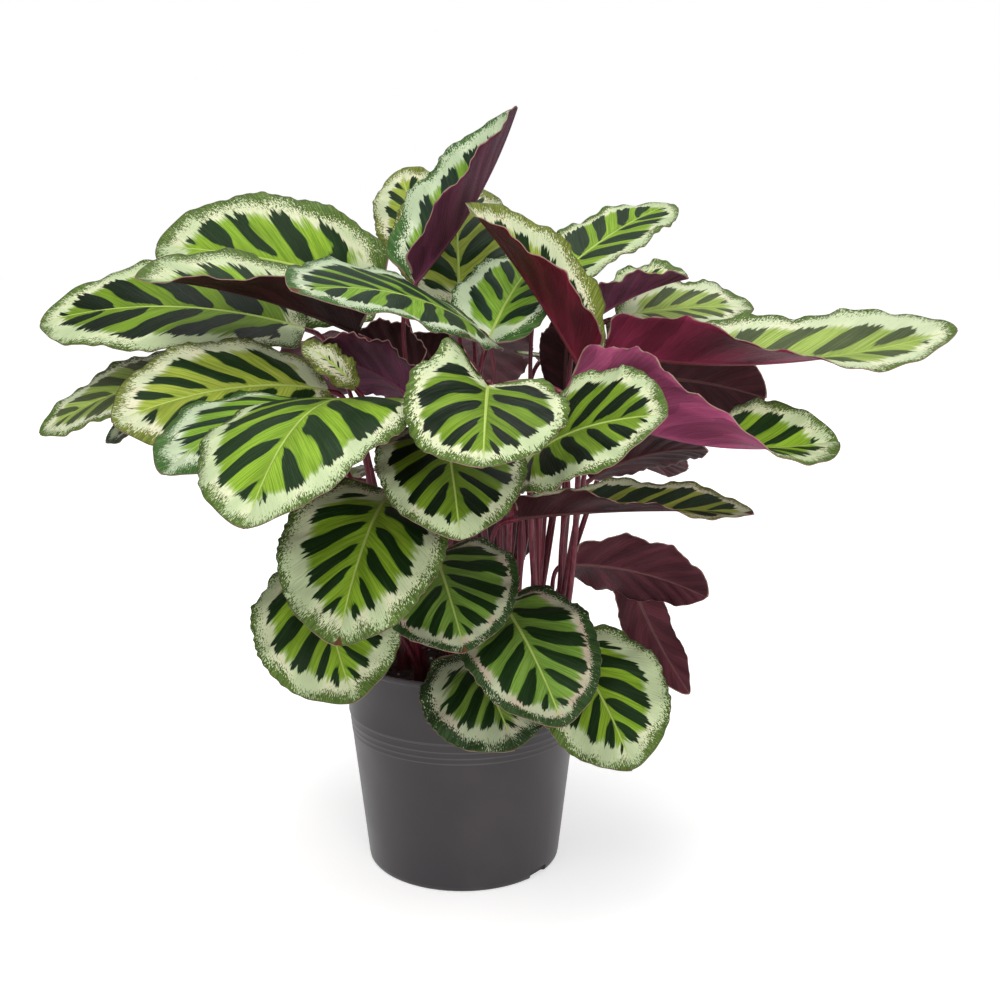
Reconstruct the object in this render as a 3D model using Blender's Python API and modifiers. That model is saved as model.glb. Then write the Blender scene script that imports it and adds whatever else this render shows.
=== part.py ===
"""Potted calathea: a nursery pot, its soil, the leaf stalks in shoots, and the waved blades.

Units are metres, +Z is up, and the origin is the middle of the pot's underside.
The leaf table is in millimetres and degrees.
"""
import math
from typing import NamedTuple

import bmesh
import bpy
import numpy as np
from mathutils import Vector

# ---------------------------------------------------------------- driving dimensions
MM = 0.001
GAP = 0.0003                 # clear gap between parts that touch

POT_HEIGHT = 0.178
POT_RIM_R = 0.095            # outside radius at the rim
POT_COLLAR_R = 0.0930        # outside radius where the collar ends
POT_COLLAR_Z = 0.129
POT_BASE_R = 0.0788          # outside radius just above the foot
POT_FOOT_R = 0.0760
POT_WALL = 0.0018
POT_LIP = 0.0012             # how far the rolled rim stands out
POT_FLOOR = 0.0024
POT_SEGMENTS = 36
NOTCH_COUNT = 2
NOTCH_WIDTH = 0.020
NOTCH_HEIGHT = 0.006
NOTCH_TURN = math.radians(-39.0)

SOIL_Z = 0.158               # mean level of the soil
SOIL_DOME = 0.005            # rise of the soil at the middle
SOIL_BUMP = 0.0012
SOIL_SEGMENTS = 24
SOIL_FIT = 0.0007            # clearance of the soil to the pot's wall
HOLE_R = 0.0079
HOLE_DEPTH = 0.024
HOLE_SIDES = 10

CROWN_R = 0.0070             # sheathed foot of a shoot
CROWN_NECK_R = 0.0046
CROWN_TOP = 0.034            # height of the sheath above the soil
CROWN_SIDES = 8
STALK_FOOT_R = 0.0030
STALK_TOP_R = 0.0018
STALK_SEAT = 0.0004          # clearance of a stalk's end to its blade
STALK_NECK = 0.006           # straight end of a stalk, in line with the midrib
STALK_RISE = 0.42            # share of its run that a stalk climbs before it leans out
STALK_LEAN = 0.25
STALK_REACH = 0.22           # share of its run over which it turns to meet the midrib
STALK_REACH_MAX = 0.034
STALK_SPREAD = 0.0022        # offset of the stalks in one sheath
STALK_SIDES = 6
STALK_STEPS = 5

BLADE_THICK = 0.0009
RIB_THICK = 0.0024
BLADE_ROWS = 10              # cells from base to tip
BLADE_COLUMNS = (-1.0, -0.6, -0.07, 0.07, 0.6, 1.0)
PHI_BASE = 0.08
PHI_TIP = math.pi - 0.03

COLORS = {
    "pot": (0.070, 0.064, 0.068, 1.0),
    "soil": (0.045, 0.026, 0.017, 1.0),
    "blade": (0.16, 0.34, 0.05, 1.0),
    "stalk": (0.20, 0.035, 0.065, 1.0),
}


class Leaf(NamedTuple):
    """One leaf blade, in millimetres and degrees.

    heart and tip are the ends of the midrib, faces is the way the upper face looks.
    left and right give each half's fold at the base, fold at the tip, and curl to the margin.
    lobe is how far each half reaches back past the heart, and bow pushes the stalk sideways.
    """

    shoot: int
    heart: tuple
    tip: tuple
    faces: tuple
    width: float
    arch: float = 12.0
    left: tuple = (14.0, 6.0, -12.0)
    right: tuple = (14.0, 6.0, -12.0)
    wave: float = 2.5
    waves: float = 3.0
    phase: float = 0.0
    sweep: float = 0.0
    twist: float = 0.0
    lobe: tuple = (0.05, 0.05)
    bow: tuple = (0.0, 0.0, 0.0)


# Foot of each shoot on the soil (x, y), in millimetres.
SHOOTS = {
    1: (-47.0, -12.0),
    2: (-32.0, -38.0),
    3: (-4.0, -50.0),
    4: (36.0, -54.0),
    5: (63.0, -34.0),
    6: (73.0, -4.0),
    7: (56.0, 30.0),
    8: (24.0, 50.0),
    9: (-14.0, 46.0),
    10: (-42.0, 20.0),
    11: (38.0, -14.0),
    12: (8.0, 12.0),
}

LEAVES = {
    # front left, arching toward the viewer
    "blade_01": Leaf(2, (-57, -120, 390), (-115, -300, 352), (-0.15, -0.25, 1.0), 134, 31,
                     (6, 4, -22), (6, 4, -22)),
    "blade_02": Leaf(2, (-79, -68, 381), (-188, -185, 359), (-0.2, -0.45, 1.0), 118, 19,
                     (2, 4, -14), (-2, 2, -10)),
    "blade_03": Leaf(1, (-102, -14, 388), (-242, -98, 378), (-0.1, -0.9, 1.0), 118, 16,
                     (6, 4, -12), (4, 2, -12)),
    "blade_04": Leaf(1, (-165, 50, 396), (-334, 20, 352), (-0.1, -0.43, 1.0), 90, 16),
    "blade_05": Leaf(10, (-128, 50, 430), (-336, 50, 436), (0.0, -0.66, 1.0), 118, 18),
    "blade_06": Leaf(12, (-80, 0, 430), (-240, -20, 474), (0.1, -0.1, 1.0), 110, 8,
                     (46, 5, 0), (25, 25, 0), bow=(0, 20, 0)),
    "blade_07": Leaf(9, (-70, 110, 457), (-254, 110, 493), (0.0, -0.9, 0.7), 129, 12),
    "blade_08": Leaf(11, (15, -50, 438), (-98, -190, 476), (0.0, -0.45, 1.0), 112, 12,
                     (-10, 2, -8), (14, 6, -12)),
    "blade_09": Leaf(12, (-37, 30, 468), (42, 90, 600), (-1.0, -0.25, 0.4), 106, -8,
                     (70, 38, 0), (41, 18, 0)),
    "blade_10": Leaf(9, (-28, 135, 472), (-58, 192, 556), (-0.2, -1.0, 0.4), 72, 8),
    "blade_11": Leaf(12, (-3, 60, 445), (-9, 150, 542), (0.1, -1.0, 0.5), 110, 8),
    "blade_12": Leaf(11, (20, -20, 424), (66, 60, 490), (-0.4, -0.8, 0.7), 96, 8),
    "blade_13": Leaf(6, (90, -60, 410), (8, -25, 526), (0.75, 0.3, 0.6), 104, 4,
                     (33, -20, 0), (52, 45, 45), lobe=(0.02, 0.02)),
    "blade_14": Leaf(6, (103, 24, 440), (173, 6, 472), (0.0, 0.0, 1.0), 80, 4,
                     (35, 30, 0), (28, 20, 0)),
    "blade_15": Leaf(7, (68, 60, 462), (176, 160, 527), (-0.3, -0.55, 0.8), 78, 8),
    "blade_16": Leaf(7, (125, 60, 438), (233, 60, 446), (0.0, -0.4, 1.0), 95, 4),
    "blade_17": Leaf(7, (120, 80, 418), (242, 80, 418), (0.0, -0.3, 1.0), 90, 12),
    "blade_18": Leaf(6, (105, -80, 424), (328, -150, 445), (0.0, -0.2, 1.0), 100, -14,
                     (24, 26, 0), (85, -22, 0), bow=(18, -26, 0)),
    "blade_19": Leaf(5, (75, -120, 400), (249, -170, 374), (0.0, 0.8, 0.65), 130, -22,
                     (31, 20, 0), (31, 8, 0), twist=-80, bow=(-10, 8, 0)),
    "blade_20": Leaf(7, (150, 60, 388), (247, 64, 372), (0.1, 0.9, 0.45), 76, 8, bow=(24, 0, 0)),
    "blade_21": Leaf(6, (100, -30, 322), (182, -60, 350), (0.0, 0.6, 1.0), 72, 8, wave=1.2),
    "blade_22": Leaf(4, (44, -100, 307), (203, -130, 317), (0.0, -0.06, 1.0), 84, 4,
                     (18, 14, 0), (50, 0, 0)),
    "blade_23": Leaf(4, (47, -130, 352), (131, -220, 400), (-0.1, -0.8, 0.8), 98, 12),
    "blade_24": Leaf(4, (22, -185, 414), (20, -268, 378), (0.0, -0.9, 1.0), 104, 7,
                     (12, 6, -12), (50, -6, -20), bow=(5, 24, 12), lobe=(0.10, 0.60)),
    "blade_25": Leaf(3, (-8, -124, 373), (5, -240, 328), (0.0, -0.7, 0.8), 100, 14,
                     (-2, 4, -10), (14, 6, -12)),
    "blade_26": Leaf(3, (-47, -130, 332), (-72, -240, 260), (-0.1, -0.9, 0.6), 112, 16),
    "blade_27": Leaf(3, (-18, -102, 280), (6, -203, 242), (0.0, -0.8, 0.8), 102, 12),
    "blade_28": Leaf(2, (-105, -74, 266), (-72, -171, 196), (-0.2, -0.8, 0.7), 113, 14),
    "blade_29": Leaf(4, (30, -120, 250), (70, -230, 201), (0.1, -0.9, 0.7), 94, 12),
    "blade_30": Leaf(4, (10, -86, 201), (40, -146, 150), (0.0, -0.9, 0.5), 104, 10),
    "blade_31": Leaf(5, (78, -100, 213), (121, -178, 149), (0.2, -0.9, 0.6), 100, 12),
    "blade_32": Leaf(6, (88, 10, 243), (196, 14, 216), (-0.3, 0.8, 0.8), 84, 8),
    "blade_33": Leaf(7, (134, 64, 236), (190, 54, 120), (-0.7, 0.7, 0.2), 50, 8),
    "blade_34": Leaf(1, (-35, -28, 382), (-114, -28, 418), (0.0, 0.6, 0.9), 86, 8),
    "blade_35": Leaf(2, (-76, -62, 396), (-114, -59, 428), (0.5, -0.7, 0.6), 30, 4,
                     lobe=(-0.02, -0.02)),
    "blade_36": Leaf(10, (-38, 40, 394), (-92, 34, 418), (0.1, 0.85, 0.5), 68, 8),
    "blade_37": Leaf(10, (-170, 80, 385), (-300, 80, 335), (0.0, -0.3, 1.0), 90, 12),
    "blade_38": Leaf(9, (-18, 84, 372), (-42, 60, 424), (0.0, 0.8, 0.6), 52, 14, bow=(0, -6, 0)),
    # the back of the plant
    "blade_39": Leaf(8, (70, 120, 398), (160, 240, 345), (0.1, 0.4, 1.0), 116, 16),
    "blade_40": Leaf(8, (8, 132, 416), (14, 284, 345), (0.0, 0.4, 1.0), 100, 16),
    "blade_41": Leaf(9, (-74, 128, 410), (-165, 246, 335), (-0.1, 0.4, 1.0), 112, 16),
    "blade_42": Leaf(8, (10, 96, 285), (-4, 175, 180), (0.1, 0.9, 0.35), 116, 12),
    "blade_43": Leaf(9, (-84, 112, 258), (-126, 212, 196), (-0.3, 0.7, 0.6), 104, 14),
    "blade_44": Leaf(10, (-90, 80, 300), (-190, 150, 250), (-0.4, 0.4, 1.0), 110, 14),
    "blade_45": Leaf(7, (100, 80, 320), (180, 150, 290), (0.3, 0.3, 1.0), 105, 14),
    # inside the crown
    "blade_46": Leaf(8, (86, 104, 366), (86, 60, 436), (0.0, 0.8, 0.6), 46, 15, bow=(0, -6, 0)),
}


# ---------------------------------------------------------------- blade geometry
def unit(v):
    """Return the vector scaled to length one."""
    v = np.asarray(v, dtype=float)
    return v / np.linalg.norm(v)


def leaf_axes(leaf):
    """Return heart, chord, and the along, across and upper-face directions of a blade."""
    heart = np.array(leaf.heart, dtype=float) * MM
    chord = np.array(leaf.tip, dtype=float) * MM - heart
    along = unit(chord)
    faces = np.array(leaf.faces, dtype=float)
    upper = unit(faces - faces.dot(along) * along)
    across = np.cross(along, upper)
    return heart, chord, along, across, upper


def outline(phi, depth=0.05):
    """Return vein root, margin station and half width of the blade at the angle phi."""
    turn = (1.0 - np.cos(phi)) / 2.0
    drip = 0.03 * np.exp(-((math.pi - phi) / 0.22) ** 2)
    lobe = depth * np.exp(-((phi - 0.55) / 0.2) ** 2)
    margin = turn + drip - lobe
    root = turn - 0.25 * np.sin(phi) ** 2 + drip
    half = np.sin(phi) ** 0.86 * (1.0 + 0.05 * np.cos(phi))
    return root, margin, half


def midrib(leaf, u):
    """Return points of the midrib arc at the stations u, with its across and upper vectors."""
    heart, chord, along, across, upper = leaf_axes(leaf)
    u = np.asarray(u, dtype=float)[..., None]
    length = np.linalg.norm(chord)
    rise = leaf.arch * MM
    bulge = 4.0 * u * (1.0 - u)
    point = heart + chord * u + upper * rise * bulge + across * leaf.sweep * MM * bulge
    slope = 4.0 * rise * (1.0 - 2.0 * u) / length
    up = upper - along * slope
    up = up / np.linalg.norm(up, axis=-1, keepdims=True)
    angle = np.radians(leaf.twist) * np.clip(u, 0.0, 1.2) ** 1.5
    side = across * np.cos(angle) + up * np.sin(angle)
    up = up * np.cos(angle) - across * np.sin(angle)
    return point, side, up


def section(fold, curl, reach, width):
    """Integrate a half section that starts at the fold angle and bends by curl to its margin."""
    bend = np.where(np.abs(curl) < 1e-4, 1e-4, curl)
    turn = fold + bend * reach / width
    out = (np.sin(turn) - np.sin(fold)) * width / bend
    lift = (np.cos(fold) - np.cos(turn)) * width / bend
    return out, lift


def blade_points(leaf, phi, t):
    """Return the blade's upper surface over the grid phi (rows) by t (columns)."""
    phi, t = np.meshgrid(np.asarray(phi, float), np.asarray(t, float), indexing="ij")
    near = (t < 0)
    root, margin, half = outline(phi, np.where(near, leaf.lobe[0], leaf.lobe[1]))
    station = root + (margin - root) * np.abs(t) ** 1.25
    width = leaf.width * MM / 2.0
    reach = half * width * np.abs(t)
    mix = np.clip(station, 0.0, 1.0)
    fold = np.where(near, leaf.left[0] + (leaf.left[1] - leaf.left[0]) * mix,
                    leaf.right[0] + (leaf.right[1] - leaf.right[0]) * mix)
    curl = np.where(near, leaf.left[2], leaf.right[2])
    out, lift = section(np.radians(fold), np.radians(curl), reach, width)
    wave = leaf.wave * MM * np.abs(t) ** 3 * np.sin(phi) ** 0.5
    start = np.radians(leaf.phase) + np.where(near, 0.0, 2.1)
    lift = lift + wave * np.sin(2.0 * math.pi * leaf.waves * mix + start)
    point, side, up = midrib(leaf, station)
    return point + side * (out * np.sign(t))[..., None] + up * lift[..., None]


def stalk_path(leaf, place):
    """Return the points of a leaf stalk from inside its sheath to just short of the blade."""
    foot = np.array([SHOOTS[leaf.shoot][0], SHOOTS[leaf.shoot][1], 0.0]) * MM
    foot[2] = SOIL_Z + 0.004
    spread = STALK_SPREAD if place else 0.0
    foot[0] += spread * math.cos(place * 2.4)
    foot[1] += spread * math.sin(place * 2.4)
    base, _, up = midrib(leaf, np.array([0.0]))
    ahead = midrib(leaf, np.array([0.02]))[0][0] - base[0]
    arrive = unit(ahead)
    seat = base[0] - arrive * STALK_SEAT - up[0] * RIB_THICK * 0.5
    end = seat - arrive * STALK_NECK
    run = np.linalg.norm(end - foot)
    lean = unit(np.array([end[0] - foot[0], end[1] - foot[1], 0.0001]))
    bow = np.array(leaf.bow) * MM
    first = foot + (np.array([0.0, 0.0, 1.0]) + STALK_LEAN * lean) * STALK_RISE * run + bow
    second = end - arrive * min(STALK_REACH * run, STALK_REACH_MAX) + bow * 0.6
    s = np.linspace(0.0, 1.0, STALK_STEPS)[:, None]
    s = s + 0.12 * np.sin(math.pi * s) * s
    path = (1 - s) ** 3 * foot + 3 * (1 - s) ** 2 * s * first
    path = path + 3 * (1 - s) * s ** 2 * second + s ** 3 * end
    return np.vstack([path, seat])


# ---------------------------------------------------------------- scene helpers
def clear_scene():
    """Remove every object that came with the file."""
    for obj in list(bpy.data.objects):
        bpy.data.objects.remove(obj, do_unlink=True)


def collection(name):
    """Return a collection of the given name, linked to the scene."""
    group = bpy.data.collections.new(name)
    bpy.context.scene.collection.children.link(group)
    return group


def material(name, color, roughness):
    """Return a Principled material."""
    mat = bpy.data.materials.new(name)
    mat.use_nodes = True
    shader = mat.node_tree.nodes["Principled BSDF"]
    shader.inputs["Base Color"].default_value = color
    shader.inputs["Roughness"].default_value = roughness
    return mat


def place(obj, group, mat):
    """Put an object into its collection and give it its material."""
    for old in list(obj.users_collection):
        old.objects.unlink(obj)
    group.objects.link(obj)
    obj.data.materials.clear()
    obj.data.materials.append(mat)
    return obj


def use_only(obj):
    """Make the object the only selected one, and the active one."""
    bpy.ops.object.select_all(action="DESELECT")
    obj.select_set(True)
    bpy.context.view_layer.objects.active = obj


def apply_modifier(obj, mod):
    """Apply a modifier to its object."""
    use_only(obj)
    bpy.ops.object.modifier_apply(modifier=mod.name)


def tidy(obj):
    """Weld coincident points and turn the faces outward."""
    mesh = bmesh.new()
    mesh.from_mesh(obj.data)
    bmesh.ops.remove_doubles(mesh, verts=mesh.verts, dist=0.00002)
    bmesh.ops.recalc_face_normals(mesh, faces=mesh.faces)
    mesh.to_mesh(obj.data)
    mesh.free()


def boolean(obj, other, operation, keep=False):
    """Combine another solid with the object."""
    mod = obj.modifiers.new("Boolean", "BOOLEAN")
    mod.operation = operation
    mod.solver = "EXACT"
    mod.object = other
    apply_modifier(obj, mod)
    if not keep:
        bpy.data.objects.remove(other, do_unlink=True)


def fuse(obj, group):
    """Join everything in a collection to the object by one union, then remove the collection."""
    mod = obj.modifiers.new("Union", "BOOLEAN")
    mod.operation = "UNION"
    mod.solver = "MANIFOLD"
    mod.operand_type = "COLLECTION"
    mod.collection = group
    apply_modifier(obj, mod)
    for other in list(group.objects):
        bpy.data.objects.remove(other, do_unlink=True)
    bpy.data.collections.remove(group)


def cutter(obj, group):
    """Mark an object as a cutter: shown as wire and left out of the render."""
    for old in list(obj.users_collection):
        old.objects.unlink(obj)
    group.objects.link(obj)
    obj.display_type = "WIRE"
    obj.hide_render = True
    return obj


# ---------------------------------------------------------------- the blades
def make_blade(name, leaf, group, mat):
    """Build one waved blade: a grid shaped by the leaf's outline, then thickened."""
    columns = len(BLADE_COLUMNS)
    bpy.ops.mesh.primitive_grid_add(x_subdivisions=columns - 1, y_subdivisions=BLADE_ROWS, size=2.0)
    obj = bpy.context.active_object
    obj.name = name
    phi = np.linspace(PHI_BASE, PHI_TIP, BLADE_ROWS + 1)
    points = blade_points(leaf, phi, BLADE_COLUMNS)
    rib = obj.vertex_groups.new(name="rib")
    for vertex in obj.data.vertices:
        column = round((vertex.co.x + 1.0) / 2.0 * (columns - 1))
        row = round((vertex.co.y + 1.0) / 2.0 * BLADE_ROWS)
        vertex.co = Vector(points[row, column])
        weight = 1.0 - 0.85 * row / BLADE_ROWS if abs(BLADE_COLUMNS[column]) < 0.1 else 0.0
        rib.add([vertex.index], weight, "REPLACE")
    facets = obj.modifiers.new("Triangulate", "TRIANGULATE")
    facets.quad_method = "SHORTEST_DIAGONAL"
    apply_modifier(obj, facets)
    shell = obj.modifiers.new("Solidify", "SOLIDIFY")
    shell.thickness = RIB_THICK
    shell.offset = -1.0
    shell.vertex_group = "rib"
    shell.thickness_vertex_group = BLADE_THICK / RIB_THICK
    shell.use_even_offset = False
    apply_modifier(obj, shell)
    tidy(obj)
    return place(obj, group, mat)


# ---------------------------------------------------------------- the stalks
def make_stalk(points, group, mat):
    """Sweep a round stalk along its points as a bevelled curve, and make it a mesh."""
    curve = bpy.data.curves.new("stalk", "CURVE")
    curve.dimensions = "3D"
    curve.bevel_depth = 1.0
    curve.bevel_resolution = (STALK_SIDES - 4) // 2
    curve.use_fill_caps = True
    spline = curve.splines.new("POLY")
    spline.points.add(len(points) - 1)
    for index, point in enumerate(points):
        share = index / (len(points) - 1)
        spline.points[index].co = (*point, 1.0)
        spline.points[index].radius = STALK_FOOT_R + (STALK_TOP_R - STALK_FOOT_R) * min(1.0, share * 1.6)
    rod = bpy.data.objects.new("stalk", curve)
    bpy.context.scene.collection.objects.link(rod)
    bpy.context.view_layer.update()
    mesh = bpy.data.meshes.new_from_object(rod.evaluated_get(bpy.context.evaluated_depsgraph_get()))
    bpy.data.objects.remove(rod, do_unlink=True)
    obj = bpy.data.objects.new("stalk", mesh)
    tidy(obj)
    return place(obj, group, mat)


def make_shoot(number, group, mat):
    """Build one shoot: the sheath in the soil and the stalks of its leaves, fused."""
    x, y = SHOOTS[number]
    low = SOIL_Z - HOLE_DEPTH + GAP
    high = SOIL_Z + CROWN_TOP
    bpy.ops.mesh.primitive_cone_add(vertices=CROWN_SIDES, radius1=CROWN_R, radius2=CROWN_NECK_R,
                                    depth=high - low, location=(x * MM, y * MM, (high + low) / 2.0))
    obj = bpy.context.active_object
    obj.name = f"shoot_{number:02d}"
    bpy.ops.object.transform_apply(location=True, rotation=True, scale=True)
    stalks = collection("stalks")
    leaves = [leaf for leaf in LEAVES.values() if leaf.shoot == number]
    for index, leaf in enumerate(leaves):
        make_stalk(stalk_path(leaf, index), stalks, mat)
    fuse(obj, stalks)
    tidy(obj)
    return place(obj, group, mat)


# ---------------------------------------------------------------- the soil and the pot
def lathe(name, profile, segments):
    """Turn a closed profile of (radius, height) points about the pot's axis."""
    mesh = bpy.data.meshes.new(name)
    count = len(profile)
    mesh.from_pydata([(r, 0.0, z) for r, z in profile], [(i, i + 1) for i in range(count - 1)], [])
    obj = bpy.data.objects.new(name, mesh)
    bpy.context.scene.collection.objects.link(obj)
    turn = obj.modifiers.new("Screw", "SCREW")
    turn.steps = segments
    turn.render_steps = segments
    turn.use_merge_vertices = True
    turn.merge_threshold = 0.00001
    apply_modifier(obj, turn)
    tidy(obj)
    return obj


def pot_outer(z):
    """Return the pot's outside radius at the height z."""
    heights = (0.0, 0.005, POT_COLLAR_Z - 0.001, POT_COLLAR_Z, POT_HEIGHT)
    radii = (POT_FOOT_R, POT_BASE_R, POT_COLLAR_R - 0.0011, POT_COLLAR_R, POT_RIM_R)
    return float(np.interp(z, heights, radii))


def make_pot(group, cuts, mat):
    """Build the pot: a turned wall with a collar and a rolled rim, and notches at the foot."""
    outer = [0.005, POT_COLLAR_Z - 0.001, POT_COLLAR_Z, POT_HEIGHT - 0.004]
    profile = [(0.0, 0.0), (POT_FOOT_R, 0.0), (POT_BASE_R - 0.0008, 0.0016)]
    profile += [(pot_outer(z), z) for z in outer]
    profile += [(POT_RIM_R + POT_LIP, POT_HEIGHT - 0.003), (POT_RIM_R + POT_LIP, POT_HEIGHT - 0.0008)]
    profile += [(POT_RIM_R, POT_HEIGHT), (POT_RIM_R - POT_WALL, POT_HEIGHT - 0.0004)]
    profile += [(pot_outer(POT_COLLAR_Z) - POT_WALL, POT_COLLAR_Z)]
    profile += [(POT_BASE_R - POT_WALL, 0.006), (POT_FOOT_R - POT_WALL, POT_FLOOR), (0.0, POT_FLOOR)]
    obj = lathe("pot", profile, POT_SEGMENTS)
    for index in range(NOTCH_COUNT):
        angle = NOTCH_TURN + index * 2.0 * math.pi / NOTCH_COUNT
        spot = (POT_BASE_R * math.cos(angle), POT_BASE_R * math.sin(angle), NOTCH_HEIGHT / 2.0 - 0.001)
        bpy.ops.mesh.primitive_cube_add(size=1.0, location=spot, rotation=(0.0, 0.0, angle))
        box = cutter(bpy.context.active_object, cuts)
        box.scale = (0.010, NOTCH_WIDTH, NOTCH_HEIGHT + 0.002)
        boolean(obj, box, "DIFFERENCE")
    tidy(obj)
    return place(obj, group, mat)


def soil_height(x, y):
    """Return the height of the domed, bumpy soil at a place."""
    r = math.hypot(x, y) / (POT_RIM_R - POT_WALL)
    dome = SOIL_DOME * (1.0 - r * r)
    bumps = math.sin(x * 210.0 + 1.3) * math.cos(y * 190.0) + 0.6 * math.sin(x * 330.0 - y * 290.0)
    return SOIL_Z + dome + SOIL_BUMP * bumps * (1.0 - r ** 6)


def make_soil(group, cuts, mat):
    """Build the soil: a plug that fills the pot, a bumpy top, and a plain hole for each shoot."""
    low = POT_FLOOR + GAP
    inset = POT_WALL + SOIL_FIT
    top_r = pot_outer(SOIL_Z) - inset
    profile = [(0.0, low), (POT_FOOT_R - inset, low), (POT_BASE_R - inset, 0.0075)]
    profile += [(pot_outer(POT_COLLAR_Z) - inset, POT_COLLAR_Z)]
    profile += [(top_r * share, SOIL_Z) for share in (1.0, 0.84, 0.6, 0.32, 0.0)]
    obj = lathe("soil", profile, SOIL_SEGMENTS)
    for vertex in obj.data.vertices:
        if vertex.co.z > SOIL_Z - 0.001:
            vertex.co.z = soil_height(vertex.co.x, vertex.co.y)
    for x, y in SHOOTS.values():
        bpy.ops.mesh.primitive_cylinder_add(vertices=HOLE_SIDES, radius=HOLE_R, depth=2.0 * HOLE_DEPTH,
                                            location=(x * MM, y * MM, SOIL_Z))
        boolean(obj, cutter(bpy.context.active_object, cuts), "DIFFERENCE")
    tidy(obj)
    return place(obj, group, mat)


def main():
    """Build every part of the plant."""
    clear_scene()
    group = collection("potted_calathea")
    cuts = collection("cutters")
    materials = {
        "pot": material("pot_plastic", COLORS["pot"], 0.55),
        "soil": material("soil", COLORS["soil"], 0.95),
        "blade": material("blade_green", COLORS["blade"], 0.45),
        "stalk": material("stalk_maroon", COLORS["stalk"], 0.4),
    }
    make_pot(group, cuts, materials["pot"])
    make_soil(group, cuts, materials["soil"])
    for number in SHOOTS:
        make_shoot(number, group, materials["stalk"])
    for name, leaf in LEAVES.items():
        make_blade(name, leaf, group, materials["blade"])


if __name__ == "__main__":
    main()
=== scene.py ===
"""Looks of the potted calathea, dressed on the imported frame.

The plant is made in sub-assemblies: the nursery pot, the bed of soil in it, the shoots with their
leaf stalks, and the waved blades, each with its own finishes. A studio with a floor, soft lights
and a camera shows it. Sizes are in metres, and in millimetres where a name ends in _mm. The leaf
table gives, in millimetres and degrees, where each blade of the frame lies.
"""
import logging
import math
import random
from collections.abc import Sequence
from dataclasses import dataclass, field
from enum import Enum

import bpy
import numpy as np
from mathutils import Matrix, Vector


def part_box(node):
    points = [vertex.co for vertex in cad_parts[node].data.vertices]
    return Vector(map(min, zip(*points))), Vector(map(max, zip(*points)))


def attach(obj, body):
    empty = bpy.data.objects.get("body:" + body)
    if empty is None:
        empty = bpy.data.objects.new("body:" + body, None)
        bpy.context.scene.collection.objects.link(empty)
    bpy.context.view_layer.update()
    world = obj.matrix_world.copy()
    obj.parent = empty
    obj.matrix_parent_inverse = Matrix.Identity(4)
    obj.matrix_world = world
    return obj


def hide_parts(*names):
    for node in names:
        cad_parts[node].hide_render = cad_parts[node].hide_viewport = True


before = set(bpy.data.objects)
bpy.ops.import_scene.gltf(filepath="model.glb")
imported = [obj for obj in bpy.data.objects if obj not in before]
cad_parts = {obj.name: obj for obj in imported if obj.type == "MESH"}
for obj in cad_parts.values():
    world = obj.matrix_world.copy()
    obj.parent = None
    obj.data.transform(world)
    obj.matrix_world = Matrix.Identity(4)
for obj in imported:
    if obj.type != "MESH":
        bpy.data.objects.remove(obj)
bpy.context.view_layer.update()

log = logging.getLogger("potted_calathea")

MM = 0.001
SOIL_Z = 0.158                               # the soil's height at the pot's wall
POT_LINES_Z = (0.1120, 0.1165, 0.1215)       # the heights of the thin raised lines on the pot
Spot = tuple[float, float]
Point = tuple[float, float, float]
Colour = tuple[float, float, float, float]


# ---------------------------------------------------------------- the leaf table
class Tint(Enum):
    """How the upper face of a blade is tinted."""

    FRESH = "fresh"
    OLIVE = "olive"
    BLUISH = "bluish"
    ROSY = "rosy"
    # painted shade: a darker copy of the fresh tint, for blades that lie low or inside the crown
    DEEP = "deep"
    # a darker copy of the fresh tint: partly painted shade for blades under others, partly a darker lime of
    # their own
    SHADED = "shaded"
    PALE = "pale"


class Back(Enum):
    """How the under face of a blade is tinted."""

    PLUM = "plum"
    VIOLET = "violet"
    CRIMSON = "crimson"
    ROSE = "rose"
    # partly the under face's own pinker colour, and partly painted light shining through the blade
    MAGENTA = "magenta"
    # painted shade: a near-black copy of the plum back, for under faces that lie in shade
    DUSK = "painted_shade"


@dataclass(frozen=True)
class Leaf:
    """One leaf of the frame, in millimetres and degrees.

    heart and tip are the ends of the midrib, which rises by arch between them, and faces is the way
    the upper face looks. left and right give each half's fold at the base, fold at the tip, and curl
    to the margin. wave is the height of the margin's waves, twist the blade's turn at its tip, lobe
    how far each side of the heart reaches back, and bow how far the stalk is bent aside.
    """

    shoot: int
    heart: Point
    tip: Point
    faces: Point
    width: float
    arch: float = 12.0
    left: Point = (14.0, 6.0, -12.0)
    right: Point = (14.0, 6.0, -12.0)
    wave: float = 2.5
    twist: float = 0.0
    lobe: Spot = (0.05, 0.05)
    bow: Point = (0.0, 0.0, 0.0)


# Foot of each shoot on the soil (x, y), in millimetres.
SHOOTS: dict[int, Spot] = {
    1: (-47.0, -12.0),
    2: (-32.0, -38.0),
    3: (-4.0, -50.0),
    4: (36.0, -54.0),
    5: (63.0, -34.0),
    6: (73.0, -4.0),
    7: (56.0, 30.0),
    8: (24.0, 50.0),
    9: (-14.0, 46.0),
    10: (-42.0, 20.0),
    11: (38.0, -14.0),
    12: (8.0, 12.0),
}

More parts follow.
